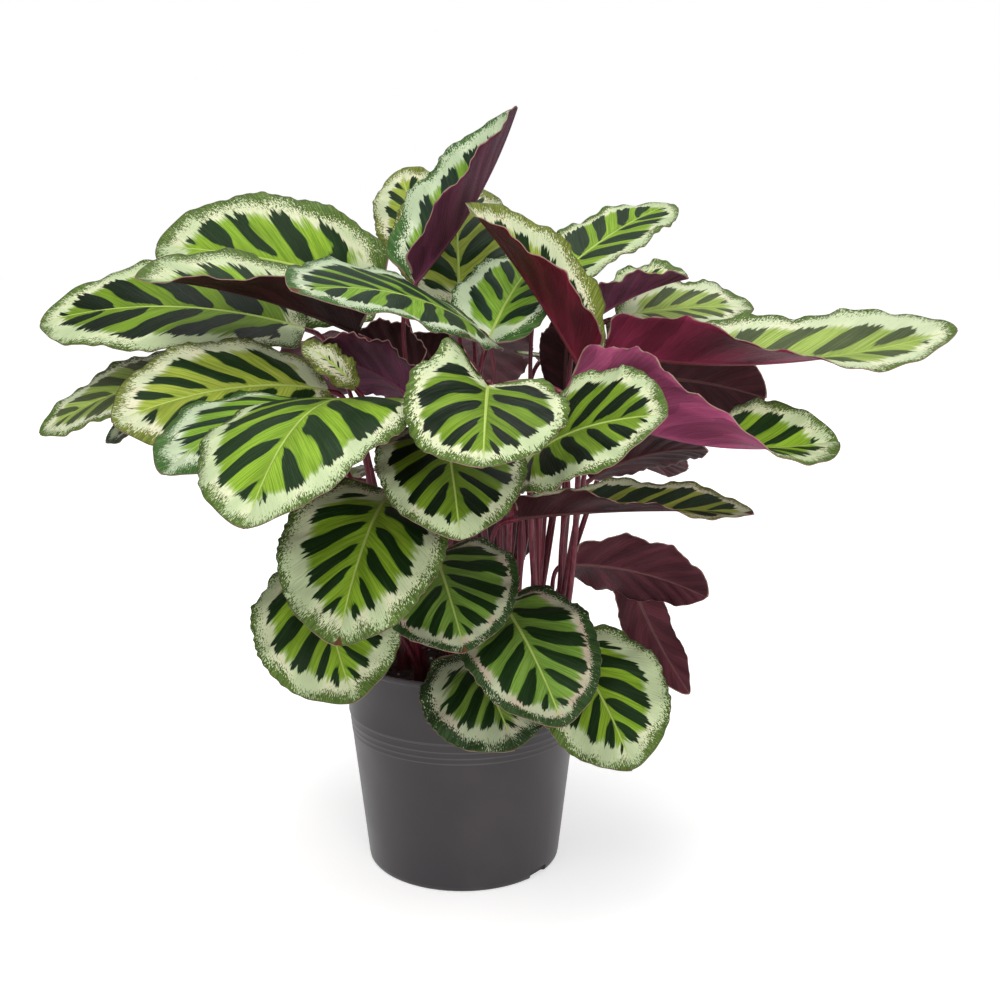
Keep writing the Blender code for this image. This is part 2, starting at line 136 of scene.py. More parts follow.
LEAVES: dict[str, Leaf] = {
    # front left, arching toward the viewer
    "blade_01": Leaf(2, (-57, -120, 390), (-115, -300, 352), (-0.15, -0.25, 1.0), 134, 31,
                     (6, 4, -22), (6, 4, -22)),
    "blade_02": Leaf(2, (-79, -68, 381), (-188, -185, 359), (-0.2, -0.45, 1.0), 118, 19,
                     (2, 4, -14), (-2, 2, -10)),
    "blade_03": Leaf(1, (-102, -14, 388), (-242, -98, 378), (-0.1, -0.9, 1.0), 118, 16,
                     (6, 4, -12), (4, 2, -12)),
    "blade_04": Leaf(1, (-165, 50, 396), (-334, 20, 352), (-0.1, -0.43, 1.0), 90, 16),
    "blade_05": Leaf(10, (-128, 50, 430), (-336, 50, 436), (0.0, -0.66, 1.0), 118, 18),
    "blade_06": Leaf(12, (-80, 0, 430), (-240, -20, 474), (0.1, -0.1, 1.0), 110, 8,
                     (46, 5, 0), (25, 25, 0), bow=(0, 20, 0)),
    "blade_07": Leaf(9, (-70, 110, 457), (-254, 110, 493), (0.0, -0.9, 0.7), 129, 12),
    "blade_08": Leaf(11, (15, -50, 438), (-98, -190, 476), (0.0, -0.45, 1.0), 112, 12,
                     (-10, 2, -8), (14, 6, -12)),
    "blade_09": Leaf(12, (-37, 30, 468), (42, 90, 600), (-1.0, -0.25, 0.4), 106, -8,
                     (70, 38, 0), (41, 18, 0)),
    "blade_10": Leaf(9, (-28, 135, 472), (-58, 192, 556), (-0.2, -1.0, 0.4), 72, 8),
    "blade_11": Leaf(12, (-3, 60, 445), (-9, 150, 542), (0.1, -1.0, 0.5), 110, 8),
    "blade_12": Leaf(11, (20, -20, 424), (66, 60, 490), (-0.4, -0.8, 0.7), 96, 8),
    "blade_13": Leaf(6, (90, -60, 410), (8, -25, 526), (0.75, 0.3, 0.6), 104, 4,
                     (33, -20, 0), (52, 45, 45), lobe=(0.02, 0.02)),
    "blade_14": Leaf(6, (103, 24, 440), (173, 6, 472), (0.0, 0.0, 1.0), 80, 4,
                     (35, 30, 0), (28, 20, 0)),
    "blade_15": Leaf(7, (68, 60, 462), (176, 160, 527), (-0.3, -0.55, 0.8), 78, 8),
    "blade_16": Leaf(7, (125, 60, 438), (233, 60, 446), (0.0, -0.4, 1.0), 95, 4),
    "blade_17": Leaf(7, (120, 80, 418), (242, 80, 418), (0.0, -0.3, 1.0), 90, 12),
    "blade_18": Leaf(6, (105, -80, 424), (328, -150, 445), (0.0, -0.2, 1.0), 100, -14,
                     (24, 26, 0), (85, -22, 0), bow=(18, -26, 0)),
    "blade_19": Leaf(5, (75, -120, 400), (249, -170, 374), (0.0, 0.8, 0.65), 130, -22,
                     (31, 20, 0), (31, 8, 0), twist=-80, bow=(-10, 8, 0)),
    "blade_20": Leaf(7, (150, 60, 388), (247, 64, 372), (0.1, 0.9, 0.45), 76, 8, bow=(24, 0, 0)),
    "blade_21": Leaf(6, (100, -30, 322), (182, -60, 350), (0.0, 0.6, 1.0), 72, 8, wave=1.2),
    "blade_22": Leaf(4, (44, -100, 307), (203, -130, 317), (0.0, -0.06, 1.0), 84, 4,
                     (18, 14, 0), (50, 0, 0)),
    "blade_23": Leaf(4, (47, -130, 352), (131, -220, 400), (-0.1, -0.8, 0.8), 98, 12),
    "blade_24": Leaf(4, (22, -185, 414), (20, -268, 378), (0.0, -0.9, 1.0), 104, 7,
                     (12, 6, -12), (50, -6, -20), bow=(5, 24, 12), lobe=(0.10, 0.60)),
    "blade_25": Leaf(3, (-8, -124, 373), (5, -240, 328), (0.0, -0.7, 0.8), 100, 14,
                     (-2, 4, -10), (14, 6, -12)),
    "blade_26": Leaf(3, (-47, -130, 332), (-72, -240, 260), (-0.1, -0.9, 0.6), 112, 16),
    "blade_27": Leaf(3, (-18, -102, 280), (6, -203, 242), (0.0, -0.8, 0.8), 102, 12),
    "blade_28": Leaf(2, (-105, -74, 266), (-72, -171, 196), (-0.2, -0.8, 0.7), 113, 14),
    "blade_29": Leaf(4, (30, -120, 250), (70, -230, 201), (0.1, -0.9, 0.7), 94, 12),
    "blade_30": Leaf(4, (10, -86, 201), (40, -146, 150), (0.0, -0.9, 0.5), 104, 10),
    "blade_31": Leaf(5, (78, -100, 213), (121, -178, 149), (0.2, -0.9, 0.6), 100, 12),
    "blade_32": Leaf(6, (88, 10, 243), (196, 14, 216), (-0.3, 0.8, 0.8), 84, 8),
    "blade_33": Leaf(7, (134, 64, 236), (190, 54, 120), (-0.7, 0.7, 0.2), 50, 8),
    "blade_34": Leaf(1, (-35, -28, 382), (-114, -28, 418), (0.0, 0.6, 0.9), 86, 8),
    "blade_35": Leaf(2, (-76, -62, 396), (-114, -59, 428), (0.5, -0.7, 0.6), 30, 4,
                     lobe=(-0.02, -0.02)),
    "blade_36": Leaf(10, (-38, 40, 394), (-92, 34, 418), (0.1, 0.85, 0.5), 68, 8),
    "blade_37": Leaf(10, (-170, 80, 385), (-300, 80, 335), (0.0, -0.3, 1.0), 90, 12),
    "blade_38": Leaf(9, (-18, 84, 372), (-42, 60, 424), (0.0, 0.8, 0.6), 52, 14, bow=(0, -6, 0)),
    # the back of the plant
    "blade_39": Leaf(8, (70, 120, 398), (160, 240, 345), (0.1, 0.4, 1.0), 116, 16),
    "blade_40": Leaf(8, (8, 132, 416), (14, 284, 345), (0.0, 0.4, 1.0), 100, 16),
    "blade_41": Leaf(9, (-74, 128, 410), (-165, 246, 335), (-0.1, 0.4, 1.0), 112, 16),
    "blade_42": Leaf(8, (10, 96, 285), (-4, 175, 180), (0.1, 0.9, 0.35), 116, 12),
    "blade_43": Leaf(9, (-84, 112, 258), (-126, 212, 196), (-0.3, 0.7, 0.6), 104, 14),
    "blade_44": Leaf(10, (-90, 80, 300), (-190, 150, 250), (-0.4, 0.4, 1.0), 110, 14),
    "blade_45": Leaf(7, (100, 80, 320), (180, 150, 290), (0.3, 0.3, 1.0), 105, 14),
    # inside the crown
    "blade_46": Leaf(8, (86, 104, 366), (86, 60, 436), (0.0, 0.8, 0.6), 46, 15, bow=(0, -6, 0)),
}

# Tips of the young leaves that are still rolled, by shoot.
SPEARS: dict[int, tuple[Point, ...]] = {
    3: ((10.0, -40.0, 296.0),),
    4: ((47.0, -38.0, 300.0),),
    5: ((60.0, -20.0, 318.0),),
    6: ((84.0, 6.0, 326.0),),
    7: ((68.0, 36.0, 340.0),),
    8: ((46.0, 66.0, 332.0), (58.0, 72.0, 312.0)),
    9: ((14.0, 62.0, 326.0),),
}


@dataclass(frozen=True)
class Look:
    """How a blade is dressed; ring is the width in millimetres of its pale ring and green margin."""

    tint: Tint = Tint.FRESH
    back: Back = Back.PLUM
    ring: float = 13.0


# The deep and shaded tints and the darkest back are painted shade for blades that lie low, inside the crown
# or under others; the magenta back is partly painted light shining through the blade.
LOOKS: dict[str, Look] = {
    "blade_01": Look(ring=15.0),
    "blade_02": Look(Tint.BLUISH, ring=21.0),
    "blade_03": Look(Tint.OLIVE, ring=18.0),
    "blade_04": Look(Tint.PALE, ring=14.0),
    "blade_05": Look(Tint.SHADED, ring=18.0),
    "blade_06": Look(Tint.FRESH, Back.DUSK, 24.0),
    "blade_07": Look(ring=24.0),
    "blade_08": Look(Tint.BLUISH, ring=15.0),
    "blade_09": Look(Tint.BLUISH, Back.VIOLET, 18.0),
    "blade_10": Look(Tint.OLIVE, ring=14.0),
    "blade_11": Look(Tint.OLIVE, ring=16.0),
    "blade_12": Look(Tint.BLUISH, ring=16.0),
    "blade_13": Look(Tint.OLIVE, Back.CRIMSON, 19.0),
    "blade_14": Look(Tint.FRESH, Back.VIOLET, 14.0),
    "blade_15": Look(ring=12.0),
    "blade_16": Look(Tint.PALE, ring=20.0),
    "blade_17": Look(Tint.BLUISH, ring=12.0),
    "blade_18": Look(Tint.PALE, Back.ROSE, 16.0),
    "blade_19": Look(Tint.FRESH, Back.MAGENTA, 15.0),
    "blade_20": Look(Tint.DEEP, Back.DUSK),
    "blade_21": Look(Tint.DEEP, Back.DUSK),
    "blade_22": Look(Tint.OLIVE, Back.DUSK, 10.0),
    "blade_23": Look(Tint.SHADED, ring=13.5),
    "blade_24": Look(Tint.SHADED, ring=12.0),
    "blade_25": Look(Tint.SHADED, ring=11.5),
    "blade_26": Look(ring=19.0),
    "blade_27": Look(Tint.ROSY, ring=11.0),
    "blade_28": Look(ring=16.0),
    "blade_29": Look(Tint.ROSY, ring=12.5),
    "blade_30": Look(Tint.DEEP, ring=18.0),
    "blade_31": Look(ring=17.0),
    "blade_32": Look(Tint.DEEP),
    "blade_33": Look(Tint.DEEP),
    "blade_34": Look(Tint.DEEP, Back.VIOLET),
    "blade_35": Look(Tint.OLIVE, ring=14.0),
    "blade_36": Look(Tint.DEEP, Back.DUSK),
    "blade_37": Look(Tint.DEEP, Back.DUSK),
    "blade_38": Look(Tint.DEEP, Back.DUSK),
    "blade_40": Look(Tint.BLUISH),
    "blade_42": Look(Tint.DEEP, Back.DUSK, 12.0),
    "blade_43": Look(Tint.ROSY, Back.DUSK, 12.0),
    "blade_44": Look(Tint.OLIVE),
    "blade_46": Look(Tint.DEEP, Back.DUSK),
}


# ---------------------------------------------------------------- helpers
def only(obj: bpy.types.Object) -> None:
    """Make an object the only selected one, and the active one.

    Args:
        obj: The object.
    """
    bpy.ops.object.select_all(action="DESELECT")
    obj.select_set(True)
    bpy.context.view_layer.objects.active = obj


def made(name: str) -> bpy.types.Object:
    """Name the object that an operator has just made, and return it.

    Args:
        name: The new name of the object and of its data.
    Returns:
        The active object.
    """
    obj = bpy.context.active_object
    obj.name = name
    obj.data.name = name
    return obj


def settle(obj: bpy.types.Object) -> None:
    """Put an object's place, turn and scale into its mesh."""
    only(obj)
    bpy.ops.object.transform_apply(location=True, rotation=True, scale=True)


def apply(obj: bpy.types.Object, kind: str, **settings: object) -> None:
    """Add a modifier with the given settings and apply it.

    Args:
        obj: The object to change.
        kind: The modifier's type.
        settings: The modifier's properties by name.
    """
    only(obj)
    step = obj.modifiers.new(kind.title(), kind)
    for key, value in settings.items():
        setattr(step, key, value)
    bpy.ops.object.modifier_apply(modifier=step.name)


def smooth(obj: bpy.types.Object, angle: float = 180.0) -> None:
    """Shade an object smooth, with edges sharper than the angle in degrees left sharp.

    Args:
        obj: The object.
        angle: The angle. At 180 degrees no edge is sharp.
    """
    only(obj)
    if angle < 180.0:
        bpy.ops.object.shade_smooth_by_angle(angle=math.radians(angle))
    else:
        bpy.ops.object.shade_smooth()


def join(objects: list[bpy.types.Object], name: str) -> bpy.types.Object:
    """Join several meshes into one object.

    Args:
        objects: The meshes to join. The first takes in the others.
        name: The name of the result.
    Returns:
        The joined object.
    """
    bpy.ops.object.select_all(action="DESELECT")
    for obj in objects:
        obj.select_set(True)
    bpy.context.view_layer.objects.active = objects[0]
    bpy.ops.object.join()
    return made(name)


def disc(name: str, radius: float, segments: int, centre: Point = (0.0, 0.0, 0.0)) -> bpy.types.Object:
    """Add a flat round disc.

    Args:
        name: The disc's name.
        radius: Its radius.
        segments: The number of its corners.
        centre: Its place.
    Returns:
        The disc.
    """
    bpy.ops.object.select_all(action="DESELECT")
    bpy.ops.mesh.primitive_circle_add(vertices=segments, radius=radius, fill_type="NGON", location=centre)
    return made(name)


def raise_wall(profile: list[Spot], centre: Spot, low: float) -> None:
    """Draw the disc that is the active object up and in or out, ring by ring.

    Args:
        profile: The radius and the height above low of each ring; the disc lies at the first.
        centre: The x and y of the axis.
        low: The height of the first ring.
    """
    bpy.ops.object.mode_set(mode="EDIT")
    bpy.ops.mesh.select_all(action="SELECT")
    for (radius, height), (next_radius, next_height) in zip(profile, profile[1:]):
        rise = (0.0, 0.0, next_height - height)
        bpy.ops.mesh.extrude_region_move(TRANSFORM_OT_translate={"value": rise})
        share = next_radius / radius
        bpy.ops.transform.resize(value=(share, share, 1.0),
                                 center_override=(centre[0], centre[1], low + next_height))
    bpy.ops.mesh.select_all(action="SELECT")
    bpy.ops.mesh.normals_make_consistent(inside=False)
    bpy.ops.object.mode_set(mode="OBJECT")


def dress(obj: bpy.types.Object, slot: str, nodes: list[str], *finishes: bpy.types.Material) -> None:
    """Give a piece its materials, let it ride, and let it stand for its nodes.

    Args:
        obj: The piece.
        slot: Not used.
        nodes: The frame's nodes that the piece replaces.
        finishes: The materials, one for each slot of the mesh.
    """
    for finish in finishes:
        obj.data.materials.append(finish)
    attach(obj, "root")
    if nodes:
        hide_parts(*nodes)
    log.info("%s: %d faces", obj.name, len(obj.data.polygons))


# ---------------------------------------------------------------- material graphs
Socket = bpy.types.NodeSocket
Value = Socket | float | tuple
Outputs = bpy.types.bpy_prop_collection


class Graph:
    """Adds nodes to a material's tree or to a group's, and joins them."""

    def __init__(self, tree: bpy.types.NodeTree) -> None:
        """Keep the tree that nodes are added to."""
        self.tree = tree

    def node(self, kind: str, **settings: object) -> bpy.types.Node:
        """Add a node and set its properties.

        Args:
            kind: The node's type.
            settings: Its properties by name.
        Returns:
            The node.
        """
        node = self.tree.nodes.new(kind)
        for key, value in settings.items():
            setattr(node, key, value)
        return node

    def fill(self, node: bpy.types.Node, values: dict[int | str, Value]) -> Outputs:
        """Link another node's output, or set a plain value, on each named or numbered input.

        Args:
            node: The node whose inputs are filled.
            values: What each input gets.
        Returns:
            The node's outputs.
        """
        for key, value in values.items():
            if isinstance(value, bpy.types.NodeSocket):
                self.tree.links.new(value, node.inputs[key])
            else:
                node.inputs[key].default_value = value
        return node.outputs

    def effect(self, tree: bpy.types.NodeTree, values: dict[str, Value]) -> Outputs:
        """Place a shared group with its own values, and return its outputs."""
        return self.fill(self.node("ShaderNodeGroup", node_tree=tree), values)

    def maths(self, operation: str, *values: Value) -> Socket:
        """Return the result of a Math node on one to three values."""
        return self.fill(self.node("ShaderNodeMath", operation=operation), dict(enumerate(values)))[0]

    def swing(self, noise: Value, width: Value) -> Socket:
        """Return how far a noise is from its middle, 0.5, times the width."""
        return self.maths("MULTIPLY", self.maths("SUBTRACT", noise, 0.5), width)

    def vector(self, *values: Value) -> Socket:
        """Return a vector made of three values."""
        return self.fill(self.node("ShaderNodeCombineXYZ"), dict(enumerate(values)))[0]

    def parts(self, vector: Socket) -> Outputs:
        """Return the three values of a vector."""
        return self.fill(self.node("ShaderNodeSeparateXYZ"), {0: vector})

    def stretch(self, vector: Value, by: Point) -> Socket:
        """Return the vector with each part multiplied."""
        return self.fill(self.node("ShaderNodeVectorMath", operation="MULTIPLY"), {0: vector, 1: by})[0]

    def noise(self, vector: Value, scale: float, detail: float = 2.0, rough: float = 0.5) -> Socket:
        """Return a noise value about 0.5 at the vector."""
        values = {"Vector": vector, "Scale": scale, "Detail": detail, "Roughness": rough}
        return self.fill(self.node("ShaderNodeTexNoise"), values)["Fac"]

    def ramp(self, value: Value, low: Value, high: Value, start: float = 0.0, end: float = 1.0,
             kind: str = "SMOOTHSTEP") -> Socket:
        """Return a step from start to end as the value goes from low to high."""
        values = dict(enumerate((value, low, high, start, end)))
        return self.fill(self.node("ShaderNodeMapRange", interpolation_type=kind), values)[0]

    def mix(self, share: Value, first: Value, second: Value, blend: str = "MIX") -> Socket:
        """Return a colour between the first and the second."""
        node = self.node("ShaderNodeMix", data_type="RGBA", blend_type=blend)
        return self.fill(node, {0: share, 6: first, 7: second})[2]

    def shade(self, colour: Value, share: Socket) -> Socket:
        """Return the colour multiplied by a share."""
        return self.mix(1.0, colour, self.vector(share, share, share), "MULTIPLY")

    def attribute(self, name: str) -> Socket:
        """Return the vector of a mesh attribute."""
        return self.node("ShaderNodeAttribute", attribute_name=name).outputs["Vector"]

    def place(self) -> Socket:
        """Return the Object coordinates."""
        return self.node("ShaderNodeTexCoord").outputs["Object"]

    def bump(self, height: Socket, strength: float, distance: float) -> Socket:
        """Return the normal of a Bump node."""
        values = {"Strength": strength, "Distance": distance, "Height": height}
        return self.fill(self.node("ShaderNodeBump"), values)[0]


@dataclass(frozen=True)
class Effect:
    """A shared effect: a node group with named inputs and outputs, all of them numbers."""

    name: str
    inputs: dict[str, float]
    outputs: tuple[str, ...]

    def new_tree(self) -> bpy.types.NodeTree:
        """Return a new group tree with the effect's sockets and their default values.

        Returns:
            The tree, without any node yet.
        """
        tree = bpy.data.node_groups.new(self.name, "ShaderNodeTree")
        for name, value in self.inputs.items():
            socket = tree.interface.new_socket(name, in_out="INPUT", socket_type="NodeSocketFloat")
            socket.default_value = value
        for name in self.outputs:
            tree.interface.new_socket(name, in_out="OUTPUT", socket_type="NodeSocketFloat")
        return tree


class VeinGrain:
    """Reads a blade's growth: where its veins run, and noises that are drawn out along them."""

    MARKS = ("Vein", "Reach", "Edge", "Station", "Side", "Seed")
    # Each noise's scale for a millimetre across and along the veins, its detail and its roughness.
    NOISES = {
        "Fine": (0.95, 0.045, 3.0, 0.6),
        "Feather": (0.30, 0.035, 2.0, 0.5),
        "Fleck": (1.35, 0.80, 2.0, 0.5),
        "Cloud": (0.035, 0.03, 1.0, 0.5),
    }
    SIDE_STEP = 9.0              # how far apart in the noise the two sides of a blade lie
    SEED_STEP = 131.0            # and how far apart two blades

    def __init__(self) -> None:
        """Build the group."""
        self.tree = Effect("vein grain", {}, (*self.MARKS, *self.NOISES)).new_tree()
        g = Graph(self.tree)
        read = (*g.parts(g.attribute("growth")), *g.parts(g.attribute("leafmark")))
        found = dict(zip(self.MARKS, read))
        side = g.maths("MULTIPLY", found["Side"], self.SIDE_STEP)
        seed = g.maths("MULTIPLY", found["Seed"], self.SEED_STEP)
        at = g.vector(found["Vein"], found["Reach"], g.maths("ADD", side, seed))
        for name, (across, along, detail, rough) in self.NOISES.items():
            found[name] = g.noise(g.stretch(at, (across, along, 1.0)), 1.0, detail, rough)
        g.fill(g.node("NodeGroupOutput"), found)


class Bands:
    """The feather-like bands on both sides of the midrib."""

    COUNT = 5.4                      # bands along a blade
    MORE = 1.3                       # how many more a blade may have, by its seed
    SIDE_SHIFT = 0.11                # how far the two sides are out of step, in bands
    DRIFT = 0.8                      # how far a broad noise pushes the bands, in bands
    BETWEEN = (0.28, 1.1)            # strength and phase of the finer wave between the bands
    SPREAD = (7.3, 0.5)              # how the seed sets a blade's share of dark, and how widely
    NARROW = (0.4, 9.0, 0.95, 0.06)  # from this reach to that one, a band goes from slim to wide
    JAG = 0.24                       # how ragged the bands' edges are
    BROKEN = 0.55                    # how uneven the bands are in width
    DARK = (-0.03, 0.09)             # the wave's levels at a band's edge
    FRINGE = (-0.26, 0.02)           # and at its fringe

    def __init__(self, grain: bpy.types.NodeTree) -> None:
        """Build the group on the vein grain.

        Args:
            grain: The vein grain's group.
        """
        effect = Effect("bands", {"Count": self.COUNT, "Jag": self.JAG}, ("Dark", "Fringe", "Wave"))
        self.tree = effect.new_tree()
        g = Graph(self.tree)
        given = g.node("NodeGroupInput").outputs
        leaf = g.effect(grain, {})
        count = g.maths("MULTIPLY_ADD", leaf["Seed"], self.MORE, given["Count"])
        turns = g.maths("MULTIPLY", leaf["Station"], count)
        offset = g.maths("ADD", g.maths("MULTIPLY", leaf["Side"], self.SIDE_SHIFT), leaf["Seed"])
        phase = g.maths("ADD", g.maths("ADD", turns, offset), g.swing(leaf["Cloud"], self.DRIFT))
        main = g.maths("SINE", g.maths("MULTIPLY", phase, 2.0 * math.pi))
        twice = g.maths("MULTIPLY", phase, 4.0 * math.pi)
        between = g.maths("SINE", g.maths("ADD", twice, self.BETWEEN[1]))
        wave = g.maths("MULTIPLY_ADD", between, self.BETWEEN[0], main)
        chance = g.maths("FRACT", g.maths("MULTIPLY", leaf["Seed"], self.SPREAD[0]))
        narrow = g.maths("ADD", g.ramp(leaf["Reach"], *self.NARROW), g.swing(chance, self.SPREAD[1]))
        uneven = g.maths("ADD", g.swing(leaf["Fine"], given["Jag"]), g.swing(leaf["Feather"], self.BROKEN))
        level = g.maths("SUBTRACT", g.maths("SUBTRACT", wave, narrow), uneven)
        dark, fringe = g.ramp(level, *self.DARK), g.ramp(level, *self.FRINGE)
        g.fill(g.node("NodeGroupOutput"), {"Dark": dark, "Fringe": fringe, "Wave": main})


# ---------------------------------------------------------------- finishes
def new_material(name: str, **constants: float) -> tuple[bpy.types.Material, Graph, bpy.types.Node]:
    """Make a new material.

    Args:
        name: The material's name.
        constants: Constants of its Principled shader, by name with _ for a space.
    Returns:
        The material, its graph and its Principled shader.
    """
    material = bpy.data.materials.new(name)
    material.use_nodes = True
    shader = material.node_tree.nodes["Principled BSDF"]
    for key, value in constants.items():
        shader.inputs[key.replace("_", " ")].default_value = value
    return material, Graph(material.node_tree), shader


@dataclass(frozen=True)
class UpperFace:
    """The patterned upper face of a blade: bands, a pale feathered ring, and a flecked margin."""

    name: str
    lime: Colour = (0.135, 0.260, 0.012, 1.0)
    lime_light: Colour = (0.26, 0.41, 0.034, 1.0)
    fringe: Colour = (0.045, 0.115, 0.012, 1.0)
    dark: Colour = (0.008, 0.024, 0.005, 1.0)
    dark_soft: Colour = (0.018, 0.048, 0.012, 1.0)
    ring: Colour = (0.54, 0.64, 0.37, 1.0)
    ring_green: Colour = (0.39, 0.51, 0.24, 1.0)
    blush: Colour = (0.60, 0.62, 0.41, 1.0)
    rim: Colour = (0.055, 0.100, 0.018, 1.0)
    rim_light: Colour = (0.13, 0.20, 0.042, 1.0)
    midrib: Colour = (0.42, 0.55, 0.13, 1.0)
    edge: Colour = (0.10, 0.10, 0.04, 1.0)
    burnt: Colour = (0.11, 0.045, 0.018, 1.0)
    ring_mm: float = 12.5        # how far in from the edge the ring reaches
    spikes_mm: float = 6.0       # how long its spikes are
    scallops_mm: float = 11.0    # how deep its scallops are
    drift_mm: float = 9.0        # how far it wanders
    shy_mm: float = 1.8          # how far short of a dark band it stays
    solid_mm: float = 0.6        # the margin is solid green this far in
    fleck_mm: float = 8.5        # and ends in flecks this far in
    patchy: float = 0.8          # how patchy the flecks are
    rib_mm: Spot = (1.25, 0.45)  # half the midrib's breadth at the heart and at the tip
    burnt_from: float = 0.8      # blades whose seed is over this have a browned tip

    def centre(self, g: Graph, leaf: Outputs, band: Outputs) -> Socket:
        """Return the colour of the banded middle of the blade.

        Args:
            g: The material's graph.
            leaf: The vein grain's outputs.
            band: The bands' outputs.
        Returns:
            The colour.
        """
        lime = g.mix(g.ramp(leaf["Fine"], 0.34, 0.66), self.lime, self.lime_light)
        dark = g.mix(g.ramp(leaf["Fine"], 0.45, 0.75), self.dark, self.dark_soft)
        middle = g.mix(g.maths("MULTIPLY", band["Fringe"], 0.6), lime, self.fringe)
        return g.mix(band["Dark"], middle, dark)

    def ringed(self, g: Graph, leaf: Outputs, band: Outputs) -> Socket:
        """Return the centre's colour with the pale ring round it, feathered inward along the veins.

        Args:
            g: The material's graph.
            leaf: The vein grain's outputs.
            band: The bands' outputs.
        Returns:
            The colour.
        """
        ring = g.mix(g.ramp(leaf["Cloud"], 0.42, 0.62), self.ring, self.blush)
        ring = g.mix(g.ramp(leaf["Fine"], 0.52, 0.72, 0.0, 0.5), ring, self.ring_green)
        inner = g.maths("SUBTRACT", leaf["Edge"], g.swing(leaf["Fine"], self.spikes_mm))
        inner = g.maths("SUBTRACT", inner, g.swing(leaf["Feather"], self.scallops_mm))
        inner = g.maths("MULTIPLY_ADD", band["Dark"], self.shy_mm, inner)
        inner = g.maths("ADD", inner, g.swing(leaf["Cloud"], self.drift_mm))
        faint = g.ramp(inner, self.ring_mm + 3.0, self.ring_mm, 0.0, 0.4)
        faint = g.maths("MULTIPLY", faint, g.maths("SUBTRACT", 1.0, band["Dark"]))
        centre = g.mix(faint, self.centre(g, leaf, band), ring)
        return g.mix(g.ramp(inner, self.ring_mm - 0.8, self.ring_mm + 0.6), ring, centre)

    def rimmed(self, g: Graph, leaf: Outputs, pattern: Socket) -> Socket:
        """Return the pattern with the green margin, broken into flecks where it meets the ring.

        Args:
            g: The material's graph.
            leaf: The vein grain's outputs.
            pattern: The colour inside the margin.
        Returns:
            The colour.
        """
        sparse = g.ramp(leaf["Edge"], self.solid_mm, self.fleck_mm, 0.34, 0.68, "LINEAR")
        fleck = g.maths("SUBTRACT", leaf["Fleck"], sparse)
        fleck = g.maths("ADD", fleck, g.swing(leaf["Cloud"], self.patchy))
        rim = g.mix(g.ramp(leaf["Fine"], 0.4, 0.7), self.rim, self.rim_light)
        near = g.ramp(leaf["Edge"], self.fleck_mm + 2.0, self.fleck_mm - 1.0)
        return g.mix(g.maths("MULTIPLY", g.ramp(fleck, -0.035, 0.035), near), pattern, rim)

    def trimmed(self, g: Graph, leaf: Outputs, pattern: Socket) -> Socket:
        """Return the pattern with the midrib, the thin edge and, on some blades, a browned tip.

        Args:
            g: The material's graph.
            leaf: The vein grain's outputs.
            pattern: The colour so far.
        Returns:
            The colour.
        """
        on_rib = g.maths("SUBTRACT", leaf["Reach"], g.ramp(leaf["Station"], 0.0, 0.95, *self.rib_mm))
        rib = g.maths("MULTIPLY", g.ramp(on_rib, 0.3, -0.3), g.ramp(leaf["Edge"], 6.0, 12.0))
        pattern = g.mix(rib, pattern, self.midrib)
        pattern = g.mix(g.ramp(leaf["Edge"], 0.8, 0.25), pattern, self.edge)
        tip = g.maths("ADD", g.swing(leaf["Feather"], 0.05), leaf["Station"])
        chosen = g.ramp(leaf["Seed"], self.burnt_from, self.burnt_from + 0.02)
        return g.mix(g.maths("MULTIPLY", g.ramp(tip, 0.982, 0.992), chosen), pattern, self.burnt)

    def material(self, grain: bpy.types.NodeTree, bands: bpy.types.NodeTree) -> bpy.types.Material:
        """Build the material.

        Args:
            grain: The vein grain's group.
            bands: The bands' group.
        Returns:
            The material.
        """
        material, g, shader = new_material(self.name, Specular_IOR_Level=0.1)
        leaf, band = g.effect(grain, {}), g.effect(bands, {})
        pattern = self.trimmed(g, leaf, self.rimmed(g, leaf, self.ringed(g, leaf, band)))
        pleat = g.maths("ADD", leaf["Fine"], g.maths("MULTIPLY", band["Wave"], 0.35))
        groove = g.ramp(leaf["Reach"], 0.6, 2.6, -0.5, 0.0)
        g.fill(shader, {
            "Base Color": g.shade(pattern, g.ramp(leaf["Cloud"], 0.3, 0.7, 0.82, 1.12)),
            "Roughness": g.ramp(band["Dark"], 0.0, 1.0, 0.46, 0.38),
            "Normal": g.bump(g.maths("ADD", pleat, groove), 0.5, 0.0011),
        })
        return material


@dataclass(frozen=True)
class UnderFace:
    """The plum under face of a blade, with its raised midrib and fine veins."""

    name: str
    skin: Colour
    skin_light: Colour
    rib: Colour
    edge: Colour = (0.30, 0.19, 0.15, 1.0)
    rib_mm: Spot = (1.7, 0.6)    # half the midrib's breadth at the heart and at the tip

    def material(self, grain: bpy.types.NodeTree, bands: bpy.types.NodeTree) -> bpy.types.Material:
        """Build the material.

        Args:
            grain: The vein grain's group.
            bands: The bands' group.
        Returns:
            The material.
        """
        material, g, shader = new_material(self.name, Roughness=0.48, Specular_IOR_Level=0.1)
        leaf, band = g.effect(grain, {}), g.effect(bands, {})
        skin = g.mix(g.ramp(leaf["Fine"], 0.3, 0.75, 0.0, 0.6), self.skin, self.skin_light)
        # painted light through the blade: the upper face's bands show faintly as darker stripes on the under
        # face
        skin = g.shade(skin, g.ramp(band["Fringe"], 0.0, 1.0, 1.12, 0.82))
        skin = g.shade(skin, g.ramp(leaf["Cloud"], 0.3, 0.7, 0.74, 1.28))
        on_rib = g.maths("SUBTRACT", leaf["Reach"], g.ramp(leaf["Station"], 0.0, 0.95, *self.rib_mm))
        skin = g.mix(g.ramp(on_rib, 0.5, -0.5), skin, self.rib)
        pleat = g.maths("ADD", leaf["Fine"], g.maths("MULTIPLY", band["Wave"], 0.4))
        pleat = g.maths("MULTIPLY_ADD", leaf["Cloud"], 3.0, pleat)
        g.fill(shader, {
            "Base Color": g.mix(g.ramp(leaf["Edge"], 0.9, 0.35), skin, self.edge),
            "Normal": g.bump(pleat, 0.6, 0.0014),
        })
        return material


